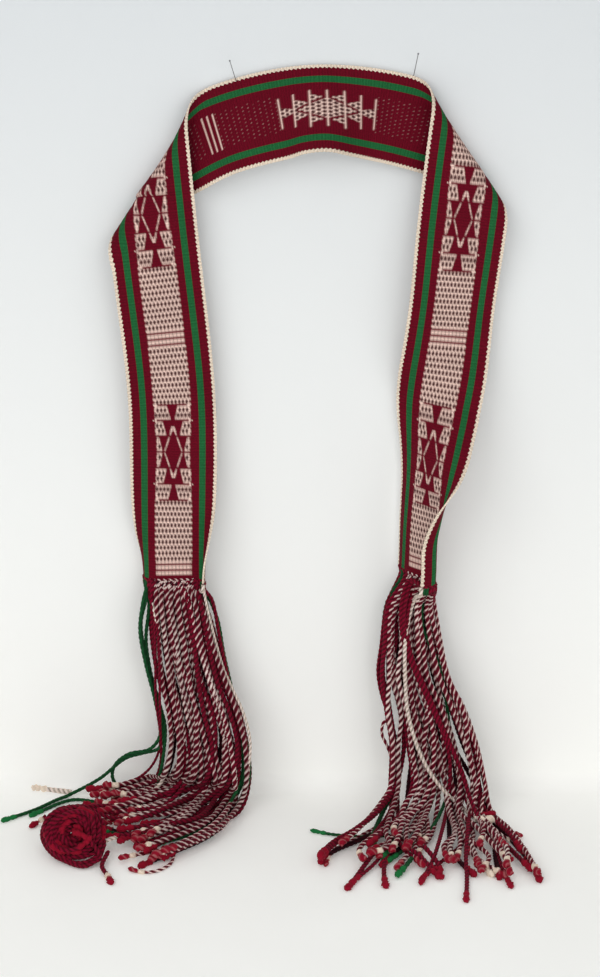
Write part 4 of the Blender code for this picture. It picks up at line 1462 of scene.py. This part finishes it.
# Cords that stand out at the left end
LEFT_CORDS = (
    SetCord(CordKind.GREEN, 0.86, (
        (146, 598, -30), (141, 622, -30), (144, 650, -30), (150, 680, -31), (158, 702, -32),
        (163, 730, -34),
        (159, 748, -36), (143, 753, -35), (126, 758, -32), (99, 779, -22), (69, 795, 3),
        (34, 811, 1), (1, 822, 1),
    )),
    SetCord(CordKind.GREEN, 0.84, (
        (143, 602, -33), (140, 630, -34), (146, 665, -34), (155, 700, -35), (160, 735, -37),
        (150, 749, -37),
        (129, 754, -34), (115, 765, -28), (113, 779, -22), (124, 792, 6), (140, 799, 4),
    )),
    SetCord(CordKind.GREEN, 0.88, (
        (149, 602, -28), (146, 640, -28), (151, 674, -29), (159, 702, -31), (165, 726, -33),
        (164, 750, -36),
        (160, 774, -40), (150, 792, 4), (112, 803, 3), (72, 800, 3), (29, 817, 1),
    )),
    SetCord(CordKind.RED, 0.78, (
        (150, 598, -26), (152, 640, -27), (161, 686, -28), (175, 712, -31), (184, 742, -37),
        (183, 778, -44),
        (158, 803, 10), (118, 812, 12), (88, 812, 18), (62, 808, 26), (46, 822, 20),
        (50, 846, 10), (74, 858, 6),
        (98, 850, 14), (96, 828, 26), (74, 818, 30), (58, 828, 22), (64, 846, 12),
    ), 0.0022),
    SetCord(CordKind.RED, 0.80, (
        (154, 602, -27), (157, 642, -28), (168, 690, -30), (181, 716, -33), (189, 746, -39),
        (187, 780, -46),
        (160, 808, 11), (112, 818, 14), (82, 806, 24), (52, 814, 24), (42, 836, 14),
        (58, 858, 6), (86, 862, 6),
        (104, 846, 14), (92, 822, 24), (70, 824, 28), (62, 838, 20),
    ), 0.0022),
    SetCord(CordKind.RED, 0.76, (
        (152, 604, -34), (155, 650, -34), (165, 694, -35), (178, 720, -37), (184, 750, -41),
        (180, 782, -46),
        (140, 804, 10), (96, 806, 22), (60, 812, 30), (48, 830, 22), (56, 852, 10),
        (80, 864, 4), (100, 858, 8),
        (84, 836, 30), (72, 832, 32),
    ), 0.0022),
    SetCord(CordKind.RED, None, (
        (70, 806, 18), (50, 818, 22), (45, 838, 14), (60, 858, 5), (86, 866, 4),
        (102, 852, 10), (96, 834, 22),
        (78, 824, 30), (60, 832, 26), (64, 850, 14), (82, 852, 14),
    ), 0.0022),
    SetCord(CordKind.RED, 0.91, (
        (153, 610, -38), (156, 700, -38), (160, 745, -36), (150, 768, -30), (128, 783, -20), (92, 792, 5),
    ), 0.0015),
    SetCord(CordKind.RED, 0.93, (
        (156, 620, -40), (160, 720, -40), (160, 765, -34), (152, 782, -28), (131, 792, 4),
    ), 0.0015),
    SetCord(CordKind.CREAM, 0.97, (
        (154, 610, -38), (158, 660, -34), (164, 690, -30), (169, 715, -30), (172, 740, -33),
        (168, 765, -37),
        (160, 784, -40), (140, 798, 5), (112, 806, 5),
    ), 0.0019),
    SetCord(CordKind.CREAM, None, ((71, 792, 3), (52, 790, 3), (31, 788, 3)), 0.0030),
    SetCord(CordKind.MOTTLED, None, (
        (196, 838, 6), (180, 842, 4), (175, 852, 3), (170, 864, 2), (156, 871, 2),
        (142, 872, 2), (128, 868, 3),
    ), 0.0017, Yarn.CREAM),
    SetCord(CordKind.GREEN, 0.17, (
        (206, 592, -26), (217, 618, -27), (224, 655, -32), (232, 690, -40), (240, 724, -48),
        (248, 750, -54),
        (248, 782, -60), (233, 812, 2), (208, 838, 1),
    )),
    SetCord(CordKind.GREEN, 0.15, (
        (202, 600, -24), (210, 635, -27), (219, 664, -32), (231, 700, -42), (243, 738, -52),
        (245, 772, -58),
        (230, 806, 4), (196, 832, 3), (150, 846, 3),
    )),
    SetCord(CordKind.GREEN, 0.13, (
        (207, 606, -32), (214, 650, -34), (226, 690, -40), (238, 730, -46), (242, 775, -54),
        (220, 815, 4),
        (170, 838, 4), (128, 836, 8), (92, 828, 22),
    )),
    SetCord(CordKind.CREAM, 0.05, (
        (222, 664, -38), (233, 690, -44), (243, 712, -50), (250, 740, -55), (249, 764, -60),
        (240, 790, 8), (215, 812, 6),
    ), 0.0015),
    SetCord(CordKind.RED, 0.10, (
        (212, 600, -28), (220, 640, -32), (231, 690, -42), (241, 722, -50), (247, 752, -56),
        (247, 778, -61),
        (236, 806, 4), (200, 834, 3), (160, 850, 4),
    )),
    SetCord(CordKind.RED, 0.24, (
        (198, 612, -24), (200, 642, -25), (208, 670, -30), (218, 702, -38), (228, 734, -46),
        (232, 766, -54),
        (226, 796, 10), (190, 816, 10), (140, 824, 12),
    ), 0.0022),
    SetCord(CordKind.RED, 0.22, (
        (202, 616, -23), (206, 650, -25), (214, 684, -32), (222, 712, -39), (231, 742, -47),
        (236, 772, -55),
        (228, 802, 9), (186, 824, 8), (130, 834, 10),
    ), 0.0022),
    SetCord(CordKind.MOTTLED, 0.30, (
        (208, 612, -26), (219, 650, -30), (230, 688, -40), (240, 718, -49), (246, 748, -55),
        (248, 774, -60),
        (241, 804, 3), (214, 833, 3), (170, 848, 5), (118, 858, 6),
    ), 0.0021, Yarn.CREAM),
    SetCord(CordKind.CREAM, 0.01, (
        (197, 590, -21), (194, 602, -20), (198, 616, -20), (199, 629, -21), (193, 643, -22),
    ), 0.0017),
    SetCord(CordKind.GREEN, None, ((98, 838, 20), (92, 826, 27), (84, 820, 30)), 0.0026),
    SetCord(CordKind.CREAM, None, ((122, 836, 12), (108, 840, 13), (99, 846, 10), (100, 858, 5)), 0.0022),
    SetCord(CordKind.RED, None, (
        (108, 852, 8), (102, 866, 5), (108, 876, 3), (112, 884, 2),
    ), 0.0024, Yarn.CREAM),
    SetCord(CordKind.RED, None, ((46, 816, 8), (38, 822, 4), (29, 827, 2)), 0.0022, Yarn.CREAM),
)

# Cords that stand out at the right end
RIGHT_CORDS = (
    SetCord(CordKind.RED, 0.08, (
        (387, 604, -31), (381, 646, -31), (378, 672, -31), (382, 696, -32), (389, 717, -34),
        (391, 748, -37),
        (390, 795, -44), (396, 828, 12), (404, 850, 8), (424, 862, 6), (442, 872, 4),
    )),
    SetCord(CordKind.RED, 0.12, (
        (390, 604, -30), (384, 646, -30), (380, 676, -30), (385, 705, -32), (392, 735, -36),
        (396, 770, -42),
        (398, 806, -48), (392, 840, 8), (376, 862, 5), (350, 884, 3),
    )),
    SetCord(CordKind.RED, 0.84, (
        (410, 580, -44), (403, 596, -46), (401, 620, -46), (405, 646, -46), (415, 672, -48),
        (426, 696, -50),
        (438, 722, -54), (449, 744, -58), (462, 772, -62), (470, 800, -64), (468, 826, 16), (466, 856, 8),
        (467, 880, 3), (466, 902, 2),
    ), 0.0023),
    SetCord(CordKind.RED, 0.80, (
        (413, 582, -46), (406, 600, -47), (404, 624, -47), (409, 650, -47), (419, 674, -49),
        (430, 698, -51),
        (442, 726, -55), (453, 750, -59), (464, 780, -62), (474, 808, 22), (492, 842, 6),
        (504, 872, 3), (512, 888, 2),
    ), 0.0023),
    SetCord(CordKind.RED, 0.88, (
        (416, 584, -43), (409, 606, -45), (407, 634, -45), (413, 660, -46), (423, 686, -48),
        (434, 710, -52),
        (444, 736, -56), (450, 762, -58), (448, 800, -60), (440, 838, 12), (432, 862, 7), (420, 884, 3),
    ), 0.0022),
    SetCord(CordKind.GREEN, 0.92, (
        (428, 582, -36), (420, 600, -38), (420, 622, -38), (428, 640, -38), (437, 660, -40),
        (442, 676, -42),
        (446, 700, -40), (450, 740, -44), (448, 790, -50), (430, 830, 8), (404, 850, 6), (386, 862, 4),
    )),
    SetCord(CordKind.GREEN, 0.95, (
        (430, 584, -34), (423, 604, -36), (423, 626, -36), (431, 646, -37), (440, 666, -39),
        (446, 690, -38),
        (446, 740, -42), (436, 790, -48), (416, 828, 8), (384, 836, 6), (352, 836, 3),
        (330, 834, 2), (310, 830, 2),
    ), 0.0016),
    SetCord(CordKind.CREAM, 0.99, (
        (414, 600, -42), (408, 622, -44), (405, 646, -48), (405, 672, -49), (407, 706, -51),
        (412, 730, -53),
        (420, 753, -56), (431, 774, -60), (446, 793, -64), (462, 807, -66), (478, 819, 14),
        (494, 819, 12),
    ), 0.0021),
    SetCord(CordKind.CREAM, None, ((474, 819, 15), (484, 820, 14), (494, 819, 12)), 0.0032),
    SetCord(CordKind.RED, None, ((478, 815, 14), (486, 814, 14), (496, 813, 13)), 0.0020),
    SetCord(CordKind.MOTTLED, 0.70, (
        (432, 606, -34), (437, 640, -36), (444, 674, -42), (458, 706, -50), (471, 734, -56),
        (481, 762, -60),
        (485, 786, -63), (482, 812, 16), (498, 832, 6), (520, 846, 3),
    ), 0.0017, Yarn.CREAM),
    SetCord(CordKind.MOTTLED, 0.68, (
        (434, 600, -33), (440, 636, -35), (448, 674, -40), (462, 708, -47), (474, 740, -54),
        (479, 775, -59),
        (474, 812, 18), (492, 820, 10), (510, 832, 5), (523, 836, 4),
    ), 0.0019, Yarn.CREAM),
    SetCord(CordKind.RED, 0.74, (
        (432, 612, -32), (436, 650, -34), (448, 700, -42), (460, 732, -50), (470, 760, -56),
        (478, 790, -60),
        (478, 814, 14), (460, 846, 6), (436, 866, 4), (420, 880, 3),
    )),
    SetCord(CordKind.MOTTLED, 0.30, (
        (392, 606, -29), (388, 650, -29), (388, 690, -31), (390, 720, -33), (384, 722, -34),
        (382, 734, -34),
        (388, 748, -36), (396, 776, -42), (394, 812, 10), (360, 836, 4), (334, 850, 3), (325, 866, 2),
    ), 0.0017, Yarn.CREAM),
    SetCord(CordKind.RED, None, ((392, 838, 10), (386, 856, 6), (384, 872, 4), (386, 888, 2)), 0.0025),
    SetCord(CordKind.RED, None, ((376, 850, 8), (364, 866, 5), (354, 880, 3), (346, 890, 2)), 0.0025),
    SetCord(CordKind.GREEN, None, ((398, 838, 12), (388, 850, 10), (380, 858, 8)), 0.0026),
    SetCord(CordKind.GREEN, None, ((412, 858, 8), (404, 868, 5), (396, 876, 4)), 0.0024),
    SetCord(CordKind.RED, None, ((424, 846, 14), (434, 858, 10), (440, 868, 6), (438, 878, 4)), 0.0026),
    SetCord(CordKind.RED, None, ((412, 850, 12), (424, 860, 9), (434, 872, 5), (444, 878, 4)), 0.0024),
    SetCord(CordKind.CREAM, None, ((474, 858, 8), (484, 868, 5), (494, 876, 3)), 0.0023, Yarn.CREAM),
)


def dress_pins(finish: bpy.types.Material) -> None:
    """Gives the two pins their steel."""
    for name in ("pin_left", "pin_right"):
        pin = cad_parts[name]
        pin.data.materials.clear()
        pin.data.materials.append(finish)
        LOG.info("%s: dressed", name)


def main() -> None:
    """Builds the setting, the band, the fringes and the pins, in that order."""
    logging.basicConfig(level=logging.INFO, format="%(name)s %(message)s")
    bpy.context.scene.view_settings.view_transform = "Standard"
    Setting().build()
    shape = BandShape()
    band = WovenBand(shape, PickUpChart(), WovenWool().build()).build()
    cord_finish = PliedWool().build()
    left = Fringe(
        "fringe_left", shape, cord_finish, -shape.left_length, LEFT_GUIDES, LEFT_MASS, LEFT_CORDS, 11, ROLL
    ).build()
    right = Fringe(
        "fringe_right", shape, cord_finish, shape.right_length, RIGHT_GUIDES, RIGHT_MASS, RIGHT_CORDS, 23
    ).build()
    dress_pins(DrawnSteel().build())


if __name__ == "__main__":
    main()
